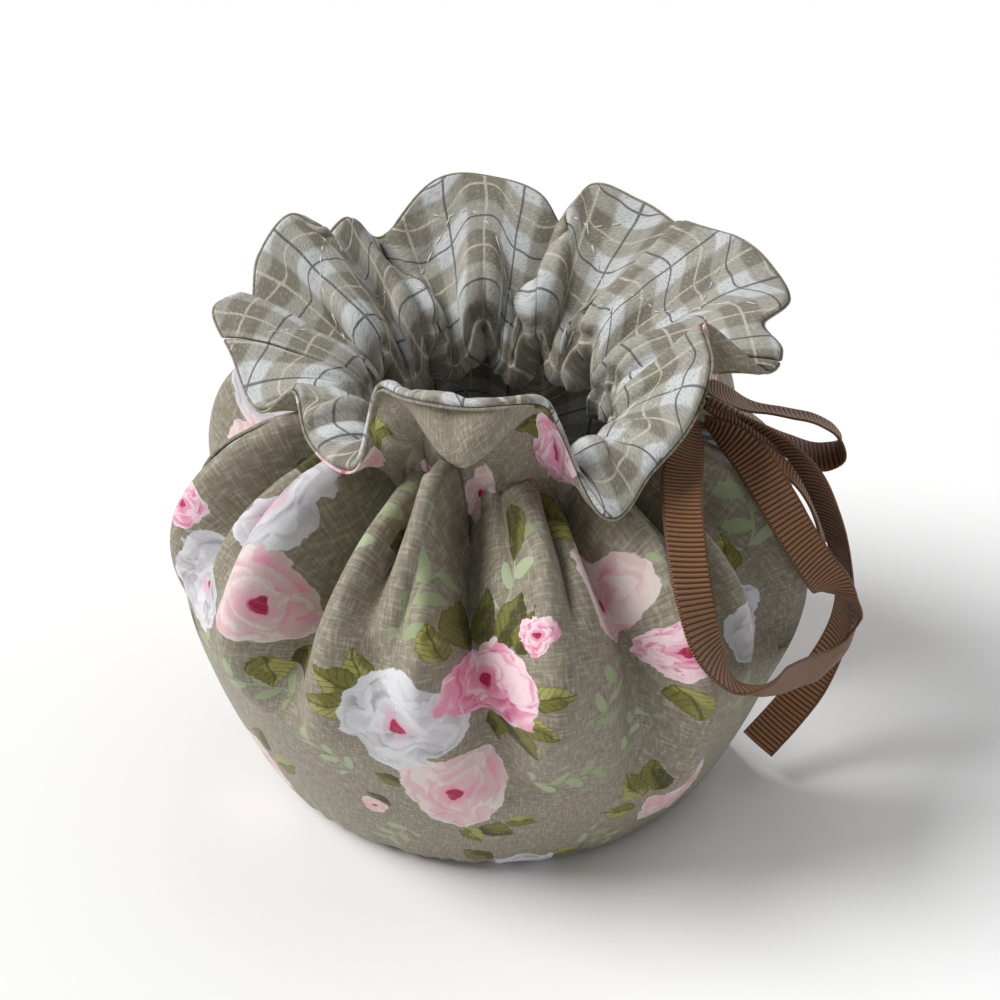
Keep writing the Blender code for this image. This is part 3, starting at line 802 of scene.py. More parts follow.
def new_object(name, shape, finish):
    """A finished object from a bmesh, smooth and in the scene."""
    mesh = bpy.data.meshes.new(name)
    shape.to_mesh(mesh)
    shape.free()
    mesh.materials.append(finish)
    mesh.shade_smooth()
    made = bpy.data.objects.new(name, mesh)
    bpy.context.scene.collection.objects.link(made)
    return made


def flat_uv(mesh, layer_name):
    """Turns the places kept at the vertices into a UV map in metres, and gives them per corner."""
    count = len(mesh.vertices)
    spots = np.empty(count * 3, np.float32)
    mesh.attributes[layer_name].data.foreach_get("vector", spots)
    corners = np.empty(len(mesh.loops), np.int32)
    mesh.loops.foreach_get("vertex_index", corners)
    places = spots.reshape(-1, 3)[corners, :2]
    uv = mesh.uv_layers.new(name="cloth")
    uv.data.foreach_set("uv", (places * MM).astype(np.float32).ravel())
    mesh.attributes.remove(mesh.attributes[layer_name])
    return places


def layer_object(name, face, back, places, inwards, finish):
    """A closed layer of cloth between its face and its back, joined along its edges."""
    shape = bmesh.new()
    layer = shape.verts.layers.float_vector.new("flat")
    add_grid(shape, layer, face, places, flip=inwards)
    add_grid(shape, layer, back, places, flip=not inwards)
    bmesh.ops.remove_doubles(shape, verts=shape.verts, dist=MERGE_DISTANCE * MM)
    return new_object(name, shape, finish)


def motif_attributes(mesh, places, shift):
    """Gives each face its nearest printed motifs: where the motif is in its own measure, and its kind.

    Two of a kind may overlap, so the upper one is kept apart from the one under it.
    """
    if len(places) != 4 * len(mesh.polygons):
        raise RuntimeError("the printed cloth has faces that aren't four-sided")
    faces = places.reshape(-1, 4, 2).copy()
    faces[..., 0] += shift
    middle = faces.mean(axis=1)
    period = 180.0 * OUTER_FULLNESS
    tables = {
        "rose": [(u, v, size, turn, kind) for _, u, v, size, turn, kind in ROSES],
        "leaf": [(u, v, size, turn, kind) for _, u, v, turn, size, kind in LEAVES],
        "twig": [(u, v, size, turn, 0) for _, u, v, turn, size in TWIGS],
    }
    for motif, rows in tables.items():
        upper = np.tile(np.array([NO_MOTIF, NO_MOTIF, 0.0], np.float32), (len(faces), 4, 1))
        lower = upper.copy()
        for number, (u, v, size, turn, kind) in enumerate(rows):
            middle_local = local_place(middle, u, v, size, turn, period)
            covered = covers(motif, middle_local)
            lower[covered] = upper[covered]
            local = local_place(faces[covered], u, v, size, turn, period)
            upper[covered, :, :2] = local
            upper[covered, :, 2] = kind + (number + 0.5) / 100
        for layer, values in ((f"{motif}_upper", upper), (f"{motif}_lower", lower)):
            if layer in PRINT_LAYERS:
                made = mesh.attributes.new(layer, "FLOAT_VECTOR", "CORNER")
                made.data.foreach_set("vector", values.astype(np.float32).ravel())


def local_place(places, u, v, size, turn, period):
    """Places on the cloth in a motif's own measure, with its foot or middle at 0."""
    across = np.mod(places[..., 0] - u + period / 2, period) - period / 2
    up = places[..., 1] - v
    cosine, sine = math.cos(math.radians(turn)), math.sin(math.radians(turn))
    return np.stack([across * cosine + up * sine, up * cosine - across * sine], -1) / size


def covers(motif, local):
    """Which of these places a motif may reach."""
    reach = PRINT_REACH[motif]
    if motif == "rose":
        return np.hypot(local[..., 0], local[..., 1]) < reach
    length, half = (TWIG_LEAVES + 1, reach) if motif == "twig" else (reach, reach / 2)
    along, across = local[..., 0], local[..., 1]
    return (along > -BEHIND_FOOT) & (along < length) & (np.abs(across) < half)


def stitched(panel, face, u, finish, name):
    """Quilting stitches along the diagonal lines of a lining panel, one small bead of thread each."""
    shape = bmesh.new()
    low_v, high_v = STITCH_START, float(panel.v[-1].max())
    for way in (1, -1):
        crossing = QUILT_CROSSING[0] + way * QUILT_CROSSING[1]
        first = math.floor((u.min() + min(way * low_v, way * high_v) - crossing) / QUILT_SPACING)
        last = math.ceil((u.max() + max(way * low_v, way * high_v) - crossing) / QUILT_SPACING)
        for line in range(first, last + 1):
            step = STITCH_PITCH / math.sqrt(2)
            line_v = np.arange(low_v, high_v, step)
            line_u = crossing + line * QUILT_SPACING - way * line_v
            ahead = step * STITCH_LENGTH / STITCH_PITCH / 2
            for place_u, place_v in zip(line_u, line_v):
                start = surface_spot(panel, face, u, place_u + way * ahead, place_v - ahead)
                end = surface_spot(panel, face, u, place_u - way * ahead, place_v + ahead)
                if start and end:
                    add_stitch(shape, start, end)
    return new_object(name, shape, finish)


def surface_spot(panel, face, u, place_u, place_v):
    """The point and the inward normal of a lining's face at a place on the flat cloth, or nothing."""
    row_numbers, column_numbers = np.arange(u.shape[0]), np.arange(u.shape[1])
    near_column = int(round(np.interp(place_u, u[panel.neck_row], column_numbers)))
    row = float(np.interp(place_v, panel.v[:, near_column], row_numbers))
    near_row = int(round(row))
    column = float(np.interp(place_u, u[near_row], column_numbers))
    inside = u[near_row, 0] + SEAM_MARGIN < place_u < u[near_row, -1] - SEAM_MARGIN
    if not inside or panel.from_rim[near_row, int(column)] < RIM_MARGIN or place_v < HEM_MARGIN:
        return None
    low_row, low_column = min(int(row), face.shape[0] - 2), min(int(column), face.shape[1] - 2)
    along, across = row - low_row, column - low_column
    rows = face[low_row : low_row + 2, low_column : low_column + 2]
    mixed = rows[0] * (1 - along) + rows[1] * along
    point = mixed[0] * (1 - across) + mixed[1] * across
    return point, -panel.normals[near_row, int(round(column))]


def add_stitch(target, start, end):
    """A bead of thread from one spot to another, half sunk in the cloth."""
    way = Vector(end[0] - start[0])
    length = way.length
    lift = Vector(start[1])
    side = way.cross(lift).normalized()
    lift = side.cross(way).normalized()
    middle = Vector((start[0] + end[0]) / 2 + AXIS) + lift * STITCH_SINK
    turn = Matrix((way.normalized(), side, lift)).transposed().to_4x4()
    size = Matrix.Diagonal((length * MM, STITCH_THICKNESS * MM, STITCH_THICKNESS * MM, 1))
    place = Matrix.Translation(middle * MM) @ turn @ size
    bmesh.ops.create_icosphere(target, subdivisions=1, radius=0.5, matrix=place)


def ribbon_sheet(route, width):
    """Rows of points along a ribbon and columns across it, slightly crowned, with flat places."""
    places = np.array([row[:3] for row in route])
    walked = np.concatenate([[0], np.cumsum(np.linalg.norm(np.diff(places, axis=0), axis=1))])
    table = [(way, *row) for way, row in zip(walked, route)]
    steps = np.linspace(0, walked[-1], round(walked[-1] / RIBBON_STEP) + 1)
    middle = np.stack([spline(table, column, steps) for column in (1, 2, 3)], -1)
    across = np.stack([spline(table, column, steps) for column in (4, 5, 6)], -1)
    forward = unit(np.gradient(middle, axis=0))
    across = unit(across - forward * np.sum(across * forward, axis=1, keepdims=True))
    over = np.cross(across, forward)
    share = np.linspace(-1, 1, RIBBON_COLUMNS + 1)
    half = spline(table, 7, steps) * width / 2
    squeeze = 1 - spline(table, 7, steps)
    crown = RIBBON_CROWN * (1 + SQUEEZED_CROWN * squeeze)
    arch = crown[:, None] * (1 - share**2)[None, :] - crown[:, None] / 2
    points = middle[:, None] + across[:, None] * (half[:, None] * share)[..., None]
    points = points + over[:, None] * arch[..., None]
    u = np.broadcast_to(steps[:, None], arch.shape)
    v = np.broadcast_to(share[None, :] * width / 2, arch.shape)
    return points, np.stack([u, v], -1), float(walked[-1])


# ---------------------------------------------------------------------------------------------------
# Finishes
# ---------------------------------------------------------------------------------------------------


class Wire:
    """One socket of a material's node tree, for use in plain arithmetic."""

    def __init__(self, tree, socket=None):
        self.tree = tree
        self.socket = socket

    def add(self, kind, settings=None, sockets=None, output=0):
        """A new node: its settings are set first, then its sockets' values or links."""
        node = self.tree.nodes.new(kind)
        for name, value in (settings or {}).items():
            setattr(node, name, value)
        for name, value in (sockets or {}).items():
            if isinstance(value, Wire):
                self.tree.links.new(value.socket, node.inputs[name])
            else:
                node.inputs[name].default_value = value
        return Wire(self.tree, node.outputs[output])

    def math(self, operation, *others):
        """This number, and any others after it, through a Math node."""
        return self.add("ShaderNodeMath", {"operation": operation}, dict(enumerate((self, *others))))

    def __add__(self, other):
        return self.math("ADD", other)

    __radd__ = __add__

    def __sub__(self, other):
        return self.math("SUBTRACT", other)

    def __rsub__(self, other):
        return self.add("ShaderNodeMath", {"operation": "SUBTRACT"}, {0: other, 1: self})

    def __mul__(self, other):
        return self.math("MULTIPLY", other)

    __rmul__ = __mul__

    def __truediv__(self, other):
        return self.math("DIVIDE", other)

    def __pow__(self, other):
        return self.math("POWER", other)

    def __abs__(self):
        return self.math("ABSOLUTE")

    def ramp(self, start, end):
        """0 up to start and 1 from end, smoothly."""
        sockets = {"Value": self, "From Min": start, "From Max": end}
        return self.add("ShaderNodeMapRange", {"interpolation_type": "SMOOTHSTEP"}, sockets)

    def split(self):
        """The three numbers of a vector."""
        node = self.tree.nodes.new("ShaderNodeSeparateXYZ")
        self.tree.links.new(self.socket, node.inputs[0])
        return [Wire(self.tree, output) for output in node.outputs]

    def mix(self, under, over):
        """A colour between two others, by this factor."""
        sockets = {"Factor": self, 6: under, 7: over}
        return self.add("ShaderNodeMix", {"data_type": "RGBA"}, sockets, output=2)

    def noise(self, x, y, z, detail=2.0):
        """Smooth noise about 0.5 at these numbers."""
        place = self.add("ShaderNodeCombineXYZ", None, {0: x, 1: y, 2: z})
        sockets = {"Vector": place, "Scale": 1.0, "Detail": detail, "Roughness": 0.5}
        return self.add("ShaderNodeTexNoise", None, sockets)


def solid(colour):
    """A colour with its alpha."""
    return (*colour, 1.0)


def new_finish(name, roughness, sheen=0.0):
    """A material with a Principled shader, and a wire to build its nodes from."""
    made = bpy.data.materials.new(name)
    made.use_nodes = True
    shader = made.node_tree.nodes["Principled BSDF"]
    shader.inputs["Roughness"].default_value = roughness
    shader.inputs["Sheen Weight"].default_value = sheen
    shader.inputs["Specular IOR Level"].default_value = 0.25
    return made, shader, Wire(made.node_tree)


def feed(shader, socket, wire):
    """Links a wire to one of the shader's sockets."""
    wire.tree.links.new(wire.socket, shader.inputs[socket])


def raise_cloth(shader, height, strength, distance):
    """Feeds a height through a Bump node to the shader's normal."""
    sockets = {"Strength": strength, "Distance": distance, "Height": height}
    feed(shader, "Normal", height.add("ShaderNodeBump", None, sockets))


def cloth_place(wire):
    """The place on the flat cloth, in millimetres."""
    uv = wire.add("ShaderNodeUVMap", {"uv_map": "cloth"})
    u, v, _ = uv.split()
    return u * 1000.0, v * 1000.0


def motif_place(wire, layer):
    """A motif's own measure, its colouring and a number of its own."""
    found = wire.add("ShaderNodeAttribute", {"attribute_name": layer}, output=1)
    p, q, tag = found.split()
    kind = tag.math("FLOOR")
    return p, q, kind, (tag - kind) * SEED_SPREAD


def by_kind(kind, colours):
    """One of three colours by the motif's colouring."""
    white = kind.ramp(*SECOND_KIND)
    pale = kind.ramp(*THIRD_KIND)
    return pale.mix(white.mix(solid(colours[0]), solid(colours[1])), solid(colours[2]))


def petal_edge(angle, radius, petals, turn):
    """How far from the heart the edge of a ring of petals is at an angle."""
    scallop = abs((angle * (petals / 2) + turn).math("COSINE"))
    return radius * (0.80 + 0.26 * scallop)


def rose_over(ground, layer, colours):
    """The ground with a rose of this layer painted over it."""
    p, q, kind, seed = motif_place(ground, layer)
    bend = ground.noise(p * 1.7, q * 1.7, seed, 1.0) - 0.5
    twist = ground.noise(p * 1.7 + 9.0, q * 1.7, seed, 1.0) - 0.5
    fray = ground.noise(p * 5.5, q * 5.5, seed, 2.0) - 0.5
    across = p + bend * ROSE_BEND - 0.06
    up = q + twist * ROSE_BEND + 0.10
    away = (across * across + up * up).math("SQRT")
    angle = up.math("ARCTAN2", across)
    outline = ROSE_OUTLINE + (angle * 3.0 + seed).math("COSINE") * 0.07 + fray * 0.20
    rings = [outline]
    for radius, petals, turn in PETAL_RINGS:
        rings.append(petal_edge(angle, radius, petals, seed + turn) + fray * 0.10)
    tone = None
    for outer, inner in zip(rings[:-1], rings[1:]):
        part = (away - inner) / (outer - inner)
        lit = part.ramp(0.0, 0.8) * 0.62 + part.ramp(0.8, 1.0) * 0.18
        if tone is None:
            tone = lit
        else:
            tone = lit + (away - outer).ramp(-0.03, 0.03) * (tone - lit)
    streak = ground.noise(across * 2.6, up * 2.6, away * 5.0 + seed, 1.0)
    spot = {0: across * 2.7 + fray, 1: up * 2.7 + fray, 2: seed}
    spot = ground.add("ShaderNodeCombineXYZ", None, spot)
    cells = ground.add("ShaderNodeTexVoronoi", None, {"Vector": spot, "Scale": 1.0}, output=1)
    petal = cells.split()[0]
    tone = tone * 0.6 + (petal - 0.5) * 0.62 + (streak - 0.5) * 1.1 + 0.36
    deep, middle, light = (by_kind(kind, colours[name]) for name in ("deep", "middle", "light"))
    petals = tone.ramp(0.42, 0.86).mix(tone.ramp(0.0, 0.42).mix(deep, middle), light)
    heart = (away + fray * 0.14 - 0.02).ramp(*ROSE_HEART)
    flush = (away + bend * 0.3).ramp(*ROSE_FLUSH) * streak.ramp(0.42, 0.60)
    petals = (flush * 0.7).mix(petals, solid(colours["flush"]))
    petals = heart.mix(petals, solid(colours["heart"]))
    return (away - outline).ramp(*ROSE_EDGE).mix(ground, petals)


def leaf_over(ground, layer, colours):
    """The ground with a veined leaf painted over it."""
    p, q, kind, seed = motif_place(ground, layer)
    wobble = ground.noise(p * 3.0, q * 3.0, seed, 0.0) - 0.5
    fine = ground.noise(p * 9.0, q * 9.0, seed, 1.0) - 0.5
    side = q + wobble * 0.16 + (p - 0.5) * (p - 0.5) * 0.22 - 0.03
    hump = (p * (1.0 - p) * 4.0).math("MAXIMUM", 0.0)
    half = hump**0.85 * (1.35 - p * 0.75) * LEAF_HALF_WIDTH + fine * 0.12
    from_rib = abs(side)
    from_edge = half - from_rib
    shape = from_edge.ramp(0.0, 0.02)
    rib = from_rib.ramp(*LEAF_RIB)
    slant = (p * 6.5 - from_rib * 6.0).math("PINGPONG", 0.5)
    veins = (slant + fine * 0.25).ramp(0.12, 0.04) * from_edge.ramp(0.0, 0.06)
    rim = from_edge.ramp(*LEAF_RIM)
    dark = kind.ramp(*SECOND_KIND)
    blade = (side * 5.0 + wobble * 2.6 + 0.5).ramp(0.1, 0.9)
    fresh = blade.mix(solid(colours["leaf_middle"]), solid(colours["leaf_light"]))
    old = blade.mix(solid(colours["leaf_dark"]), solid(colours["leaf_middle"]))
    colour = dark.mix(fresh, old)
    lines = (rib + veins * 0.8 + rim * 0.7).math("MINIMUM", 1.0)
    colour = (lines * 0.75).mix(colour, solid(colours["leaf_dark"]))
    return shape.mix(ground, colour)


def twig_over(ground, layer, colours):
    """The ground with a pale twig of small paired leaves painted over it."""
    p, q, _, seed = motif_place(ground, layer)
    wobble = ground.noise(p * 1.1, q * 1.1, seed, 0.0) - 0.5
    side = q + wobble * 0.25
    way = p + side.ramp(-0.001, 0.001) * 0.45
    number = way.math("FLOOR")
    cell = way - number - TWIG_LEAF_FOOT
    out = abs(side)
    cosine, sine = TWIG_SLANT
    along = cell * cosine + out * sine
    across = out * cosine - cell * sine
    half_length, half_width = TWIG_LEAF_HALVES
    oval = ((along - TWIG_LEAF_MIDDLE) / half_length) ** 2.0 + (across / half_width) ** 2.0
    ends = p.ramp(0.0, 0.1) * p.ramp(TWIG_LEAVES, TWIG_LEAVES - 0.1)
    leaf = oval.ramp(1.05, 0.9)
    stalk = out.ramp(*TWIG_STALK)
    shape = leaf.math("MAXIMUM", stalk * 0.8) * ends
    tint = ground.noise(number, seed, 2.0, 0.0)
    colour = tint.ramp(0.35, 0.65).mix(solid(colours["twig_middle"]), solid(colours["twig_light"]))
    return (shape * 0.92).mix(ground, colour)


def linen_finish(sizes):
    """Linen with crossed slubs, printed with roses, leaves and pale twigs."""
    made, shader, wire = new_finish("floral_linen", 0.62, 0.12)
    u, v = cloth_place(wire)
    fast, slow = LINEN_THREAD
    warp = wire.noise(u * fast, v * slow, 1.0, 1.0)
    weft = wire.noise(u * slow, v * fast, 7.0, 1.0)
    tint = wire.noise(u * 0.05, v * 0.05, 3.0, 1.0)
    slub = warp.ramp(0.53, 0.68) * 0.5 + weft.ramp(0.53, 0.68) * 0.5
    shade = warp.ramp(0.46, 0.34) * 0.35 + weft.ramp(0.46, 0.34) * 0.35
    ground = tint.mix(solid(sizes.linen), solid(sizes.linen_warm))
    ground = slub.mix(ground, solid(sizes.slub))
    ground = shade.mix(ground, solid(sizes.linen_dark))
    colours = {
        "deep": (sizes.rose_pink, sizes.white_shade, sizes.rose_middle),
        "middle": (sizes.rose_middle, sizes.white_middle, sizes.pale_middle),
        "light": (sizes.rose_light, sizes.white_light, sizes.pale_light),
        "flush": sizes.rose_middle,
        "heart": sizes.rose_heart,
        "leaf_dark": sizes.leaf_dark,
        "leaf_middle": sizes.leaf_middle,
        "leaf_light": sizes.leaf_light,
        "twig_middle": sizes.twig_middle,
        "twig_light": sizes.twig_light,
    }
    painters = {"twig": twig_over, "leaf": leaf_over, "rose": rose_over}
    for layer in PRINT_LAYERS:
        ground = painters[layer.split("_")[0]](ground, layer, colours)
    printed = (slub * 0.22).mix(ground, solid(sizes.slub))
    feed(shader, "Base Color", printed)
    height = warp * 0.5 + weft * 0.5
    raise_cloth(shader, height, 0.35, 0.0003)
    return made


def check_finish(sizes):
    """Twilled cotton woven in a check of pale and brown bands with thin charcoal and cream lines."""
    made, shader, wire = new_finish("checked_cotton", 0.7, 0.1)
    u, v = cloth_place(wire)
    repeat = sizes.check_repeat / MM
    bands, charcoal, cream = [], [], []
    fast, slow = TWILL_THREAD
    twill = wire.noise((u + v) * fast, (u - v) * slow, 2.0, 1.0)
    jitter = (twill - 0.5) * 0.05
    sway = wire.noise(u * 0.08, v * 0.08, 5.0, 0.0) * 0.08
    for place in (u, v):
        part = place / repeat + sway
        from_line = part.math("PINGPONG", 0.5)
        bands.append((from_line + jitter).ramp(*BAND_EDGE))
        charcoal.append(from_line.ramp(*CHARCOAL_EDGE))
        cream.append(from_line.ramp(*CREAM_EDGE))
    fast, slow = CHECK_THREAD
    thread = wire.noise(u * fast, v * slow, 4.0, 1.0)
    level = bands[0] * 0.5 + bands[1] * 0.5 + (twill - 0.5) * 0.25 + (thread - 0.5) * 0.2
    ground = level.ramp(0.0, 0.5).mix(solid(sizes.check_brown), solid(sizes.check_middle))
    ground = level.ramp(0.5, 1.0).mix(ground, solid(sizes.check_pale))
    ground = (twill.ramp(0.48, 0.34) * 0.4).mix(ground, solid(sizes.check_shade))
    ground = (twill.ramp(0.54, 0.70) * 0.28).mix(ground, solid(sizes.check_slub))
    speck = twill.ramp(0.35, 0.6)
    lines = cream[0].math("MAXIMUM", cream[1]) * (speck * 0.4 + 0.4)
    ground = lines.mix(ground, solid(sizes.check_cream))
    lines = charcoal[0].math("MAXIMUM", charcoal[1]) * (speck * 0.3 + 0.6)
    ground = lines.mix(ground, solid(sizes.check_charcoal))
    feed(shader, "Base Color", ground)
    height = twill * 0.7 + thread * 0.3
    raise_cloth(shader, height, 0.4, 0.0004)
    return made


def ribbon_finish(sizes):
    """Grosgrain: ribs across the ribbon, with painted shade between the ribs, and a fine selvedge."""
    made, shader, wire = new_finish("grosgrain_ribbon", 0.45, 0.08)
    u, v = cloth_place(wire)
    turns = u * (2 * math.pi / (sizes.rib_pitch / MM))
    rib = turns.math("SINE") * 0.5 + 0.5
    half = sizes.ribbon_width / MM / 2
    selvedge = abs(v).ramp(half * SELVEDGE[0], half * SELVEDGE[1])
    dots = (turns * 2.0).math("SINE").ramp(-0.2, 0.4) * selvedge
    tint = wire.noise(u * 0.6, v * 0.6, 1.0)
    thread = wire.noise(u * 0.5, v * 5.0, 2.0)
    level = rib.ramp(0.0, 0.7) * (1.0 - selvedge) + (thread - 0.5) * 0.5 + (tint - 0.5) * 0.4
    # Painted shade: the ribbon is darkened between its ribs with its shaded colour, which the
    # selvedge's ground also takes.
    ground = level.ramp(0.0, 0.9).mix(solid(sizes.ribbon_shade), solid(sizes.ribbon_colour))
    ground = (dots * 0.7).mix(ground, solid(sizes.ribbon_light))
    feed(shader, "Base Color", ground)
    height = rib * (1.0 - selvedge) + dots * 0.6
    raise_cloth(shader, height, 0.8, 0.0004)
    return made


def thread_finish(sizes):
    """Twisted white sewing thread."""
    made, shader, wire = new_finish("quilting_thread", 0.5, 0.2)
    place = wire.add("ShaderNodeTexCoord", None, None, output=3)
    x, y, z = place.split()
    ply = wire.noise(x * 2200.0, y * 2200.0, z * 2200.0)
    colour = ply.ramp(0.35, 0.65).mix(solid(sizes.thread_shade), solid(sizes.thread))
    feed(shader, "Base Color", colour)
    return made


# ---------------------------------------------------------------------------------------------------
# Settings, operators and panel
# ---------------------------------------------------------------------------------------------------


def colour_property(label, note, *shown):
    """A colour that can be changed in the sidebar."""
    return bpy.props.FloatVectorProperty(
        name=label, description=note, subtype="COLOR", size=3, min=0.0, max=1.0, default=display(*shown)
    )


def length_property(label, note, metres):
    """A length that can be changed in the sidebar."""
    return bpy.props.FloatProperty(name=label, description=note, default=metres, unit="LENGTH")


class CosyCloth(bpy.types.PropertyGroup):
    """Colours and sizes of the cosy's cloth, thread and ribbon."""

    linen: colour_property("Linen", "Ground of the printed linen", 138, 132, 115)
    linen_warm: colour_property("Warm linen", "Warmer places of the linen", 146, 136, 117)
    linen_dark: colour_property("Dark thread", "Gaps between the linen's threads", 112, 104, 88)
    slub: colour_property("Slub", "Thick pale threads of the linen", 172, 168, 153)
    rose_pink: colour_property("Deep pink", "Shaded petals of the pink roses", 208, 100, 142)
    rose_middle: colour_property("Pink", "Petals of the pink roses", 228, 152, 180)
    rose_light: colour_property("Light pink", "Lit petals of the pink roses", 242, 214, 222)
    rose_heart: colour_property("Rose heart", "Hearts of the roses", 170, 18, 72)
    white_shade: colour_property("White shade", "Shaded petals of the white roses", 166, 162, 168)
    white_middle: colour_property("White petals", "Petals of the white roses", 198, 196, 200)
    white_light: colour_property("White light", "Lit petals of the white roses", 218, 218, 221)
    pale_middle: colour_property("Pale petals", "Petals of the pale roses", 218, 184, 186)
    pale_light: colour_property("Pale light", "Lit petals of the pale roses", 224, 210, 206)
    leaf_dark: colour_property("Leaf dark", "Veins and shade of the leaves", 70, 68, 22)
    leaf_middle: colour_property("Leaf", "Blades of the leaves", 116, 114, 46)
    leaf_light: colour_property("Leaf light", "Lit side of the leaves", 164, 162, 92)
    twig_middle: colour_property("Twig", "Darker leaves of the twigs", 146, 160, 120)
    twig_light: colour_property("Twig light", "Paler leaves of the twigs", 174, 188, 150)
    check_brown: colour_property("Check brown", "Brown bands of the lining", 128, 122, 109)
    check_middle: colour_property("Check middle", "Where a brown and a pale band cross", 164, 161, 151)
    check_pale: colour_property("Check pale", "Where two pale bands cross", 200, 203, 202)
    check_shade: colour_property("Twill shade", "Gaps of the lining's twill", 104, 100, 88)
    check_slub: colour_property("Twill slub", "Pale threads of the lining's twill", 216, 216, 211)
    check_cream: colour_property("Cream line", "Thin lines in the brown bands", 206, 199, 180)
    check_charcoal: colour_property("Charcoal line", "Thin lines in the pale bands", 68, 71, 80)
    ribbon_colour: colour_property("Ribbon", "Ribs of the ribbon", 146, 103, 68)
    # Painted shade: the ribbon's colour in shade, laid between its ribs and on the selvedge's ground.
    ribbon_shade: colour_property("Ribbon dark", "Between the ribbon's ribs", 70, 46, 28)
    ribbon_light: colour_property("Selvedge", "Dots of the ribbon's selvedge", 164, 120, 78)
    thread: colour_property("Thread", "Quilting thread", 240, 240, 236)
    thread_shade: colour_property("Thread shade", "Shaded ply of the thread", 196, 196, 190)
    check_repeat: length_property("Check repeat", "From one charcoal line to the next", 0.0185)
    ribbon_width: length_property("Ribbon width", "Width of the ribbon", 0.010)
    ribbon_thickness: length_property("Ribbon thickness", "Thickness of the ribbon", 0.0006)
    rib_pitch: length_property("Rib pitch", "From one rib of the ribbon to the next", 0.0013)


def settle(piece, node, replaces=()):
    """Puts a piece on the cosy in place of its plain solids."""
    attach(piece, "root")
    if node:
        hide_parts(node, *replaces)


class COSY_OT_outer(bpy.types.Operator):
    """Make the front and back panels of printed linen"""

    bl_idname = "cosy.outer"
    bl_label = "Outer panels"

    def execute(self, context):
        finish = linen_finish(context.scene.cosy_cloth)
        for is_front, end in ((True, "front"), (False, "back")):
            panel = Panel(is_front)
            face, back, places = outer_surfaces(panel)
            made = layer_object(f"linen_{end}", face, back, places, False, finish)
            corners = flat_uv(made.data, "flat")
            motif_attributes(made.data, corners, 0.0 if is_front else BACK_PRINT_SHIFT)
            settle(made, f"outer_{end}")
        return {"FINISHED"}


class COSY_OT_lining(bpy.types.Operator):
    """Make the front and back panels of checked lining and their quilting stitches"""

    bl_idname = "cosy.lining"
    bl_label = "Lining and quilting"

    def execute(self, context):
        finish = check_finish(context.scene.cosy_cloth)
        thread = thread_finish(context.scene.cosy_cloth)
        for is_front, end in ((True, "front"), (False, "back")):
            panel = Panel(is_front)
            face, back, places = lining_surfaces(panel)
            made = layer_object(f"check_{end}", face, back, places, True, finish)
            flat_uv(made.data, "flat")
            settle(made, f"lining_{end}")
            stitches = stitched(panel, face, places[..., 0], thread, f"quilting_{end}")
            settle(stitches, "")
        return {"FINISHED"}


class COSY_OT_bow(bpy.types.Operator):
    """Make the ribbon's knot, loops and tails"""

    bl_idname = "cosy.bow"
    bl_label = "Ribbon bow"

    def execute(self, context):
        sizes = context.scene.cosy_cloth
        finish = ribbon_finish(sizes)
        width = sizes.ribbon_width / MM
        routes = {"loop_big": BIG_LOOP, "loop_small": SMALL_LOOP}
        routes |= {"tail_long": LONG_TAIL, "tail_short": SHORT_TAIL}
        for name, route in routes.items():
            points, places, length = ribbon_sheet(route, width)
            shape = bmesh.new()
            layer = shape.verts.layers.float_vector.new("flat")
            add_grid(shape, layer, points, places, flip=False)
            made = new_object(f"grosgrain_{name}", shape, finish)
            flat_uv(made.data, "flat")
            solid_ribbon = made.modifiers.new("Thickness", "SOLIDIFY")
            solid_ribbon.thickness = sizes.ribbon_thickness
            solid_ribbon.offset = 0
            settle(made, f"ribbon_{name}")
            flat = (round(sizes.ribbon_width, 6), length * MM)
        self.knot(finish)
        return {"FINISHED"}

    def knot(self, finish):
        """A puffed band drawn tight round the middle of the bow."""
        shape = bmesh.new()
        layer = shape.verts.layers.float_vector.new("flat")
        round_it, up_it = KNOT_DIVISIONS
        made = bmesh.ops.create_uvsphere(shape, u_segments=round_it, v_segments=up_it, radius=0.5)
        centre = np.array(KNOT_CENTRE) + AXIS
        for vert in made["verts"]:
            turn = math.atan2(vert.co.z, vert.co.x)
            vert[layer] = (turn * KNOT_SIZE[0] / 2, vert.co.y * KNOT_SIZE[1], 0.0)
            fade = 1 - abs(vert.co.y * 2) ** 3
            crease = 1 + KNOT_CREASE * math.cos(vert.co.y * KNOT_CREASE_RATE) * fade
            vert.co = Vector(np.array(vert.co) * np.array(KNOT_SIZE) * crease + centre) * MM
        piece = new_object("grosgrain_knot", shape, finish)
        flat_uv(piece.data, "flat")
        settle(piece, "ribbon_knot")


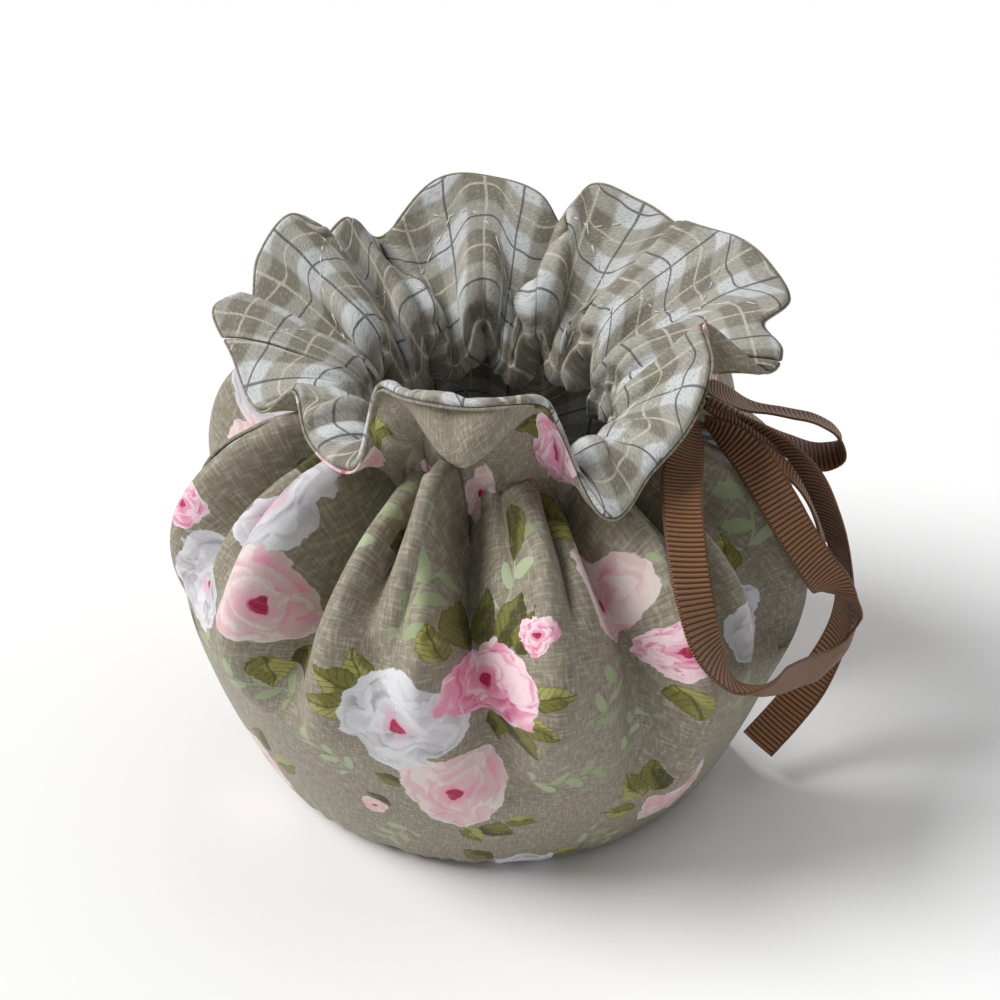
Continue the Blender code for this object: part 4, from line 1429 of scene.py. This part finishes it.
class COSY_OT_stage(bpy.types.Operator):
    """Make the pale floor, the soft lights and the camera"""

    bl_idname = "cosy.stage"
    bl_label = "Stage"

    def execute(self, context):
        scene = context.scene
        shape = bmesh.new()
        bmesh.ops.create_grid(shape, x_segments=4, y_segments=4, size=FLOOR_HALF)
        finish, shader, _ = new_finish("pale_floor", 0.9)
        shader.inputs["Base Color"].default_value = solid((FLOOR_SHADE,) * 3)
        floor = new_object("floor", shape, finish)
        target = (Vector(VIEW_TARGET) + Vector(AXIS)) * MM
        tilt = math.radians(VIEW_ELEVATION)
        camera_data = bpy.data.cameras.new("view")
        camera_data.lens = VIEW_LENS
        camera_data.shift_x, camera_data.shift_y = VIEW_SHIFT
        camera_data.clip_start = 0.01
        camera = bpy.data.objects.new("view", camera_data)
        away = Vector((0, -math.cos(tilt), math.sin(tilt))) * VIEW_DISTANCE * MM
        camera.location = target + away
        camera.rotation_euler = (math.pi / 2 - tilt, 0, 0)
        scene.collection.objects.link(camera)
        scene.camera = camera
        for name, place, spread, strength in LIGHTS:
            light = bpy.data.lights.new(name, "SUN")
            light.angle = math.radians(spread)
            light.energy = strength
            made = bpy.data.objects.new(name, light)
            made.location = place
            made.rotation_euler = (-Vector(place)).to_track_quat("-Z", "Y").to_euler()
            scene.collection.objects.link(made)
        world = bpy.data.worlds.new("studio")
        world.use_nodes = True
        sky = world.node_tree.nodes["Background"]
        sky.inputs["Color"].default_value = solid((1.0, 1.0, 1.0))
        sky.inputs["Strength"].default_value = SKY_STRENGTH
        scene.world = world
        scene.view_settings.view_transform = "Standard"
        return {"FINISHED"}


class COSY_PT_panel(bpy.types.Panel):
    """Lists what makes the tea cosy"""

    bl_label = "Tea cosy"
    bl_idname = "COSY_PT_panel"
    bl_space_type = "VIEW_3D"
    bl_region_type = "UI"
    bl_category = "Tea cosy"

    def draw(self, context):
        layout = self.layout
        for name in CosyCloth.__annotations__:
            layout.prop(context.scene.cosy_cloth, name)
        for maker in MAKERS:
            layout.operator(maker.bl_idname)


MAKERS = (COSY_OT_outer, COSY_OT_lining, COSY_OT_bow, COSY_OT_stage)
CLASSES = (CosyCloth, *MAKERS, COSY_PT_panel)


def register():
    for kind in CLASSES:
        bpy.utils.register_class(kind)
    bpy.types.Scene.cosy_cloth = bpy.props.PointerProperty(type=CosyCloth)


def unregister():
    del bpy.types.Scene.cosy_cloth
    for kind in reversed(CLASSES):
        bpy.utils.unregister_class(kind)


def main():
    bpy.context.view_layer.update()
    register()
    bpy.ops.cosy.outer()
    bpy.ops.cosy.lining()
    bpy.ops.cosy.bow()
    bpy.ops.cosy.stage()


if __name__ == "__main__":
    main()
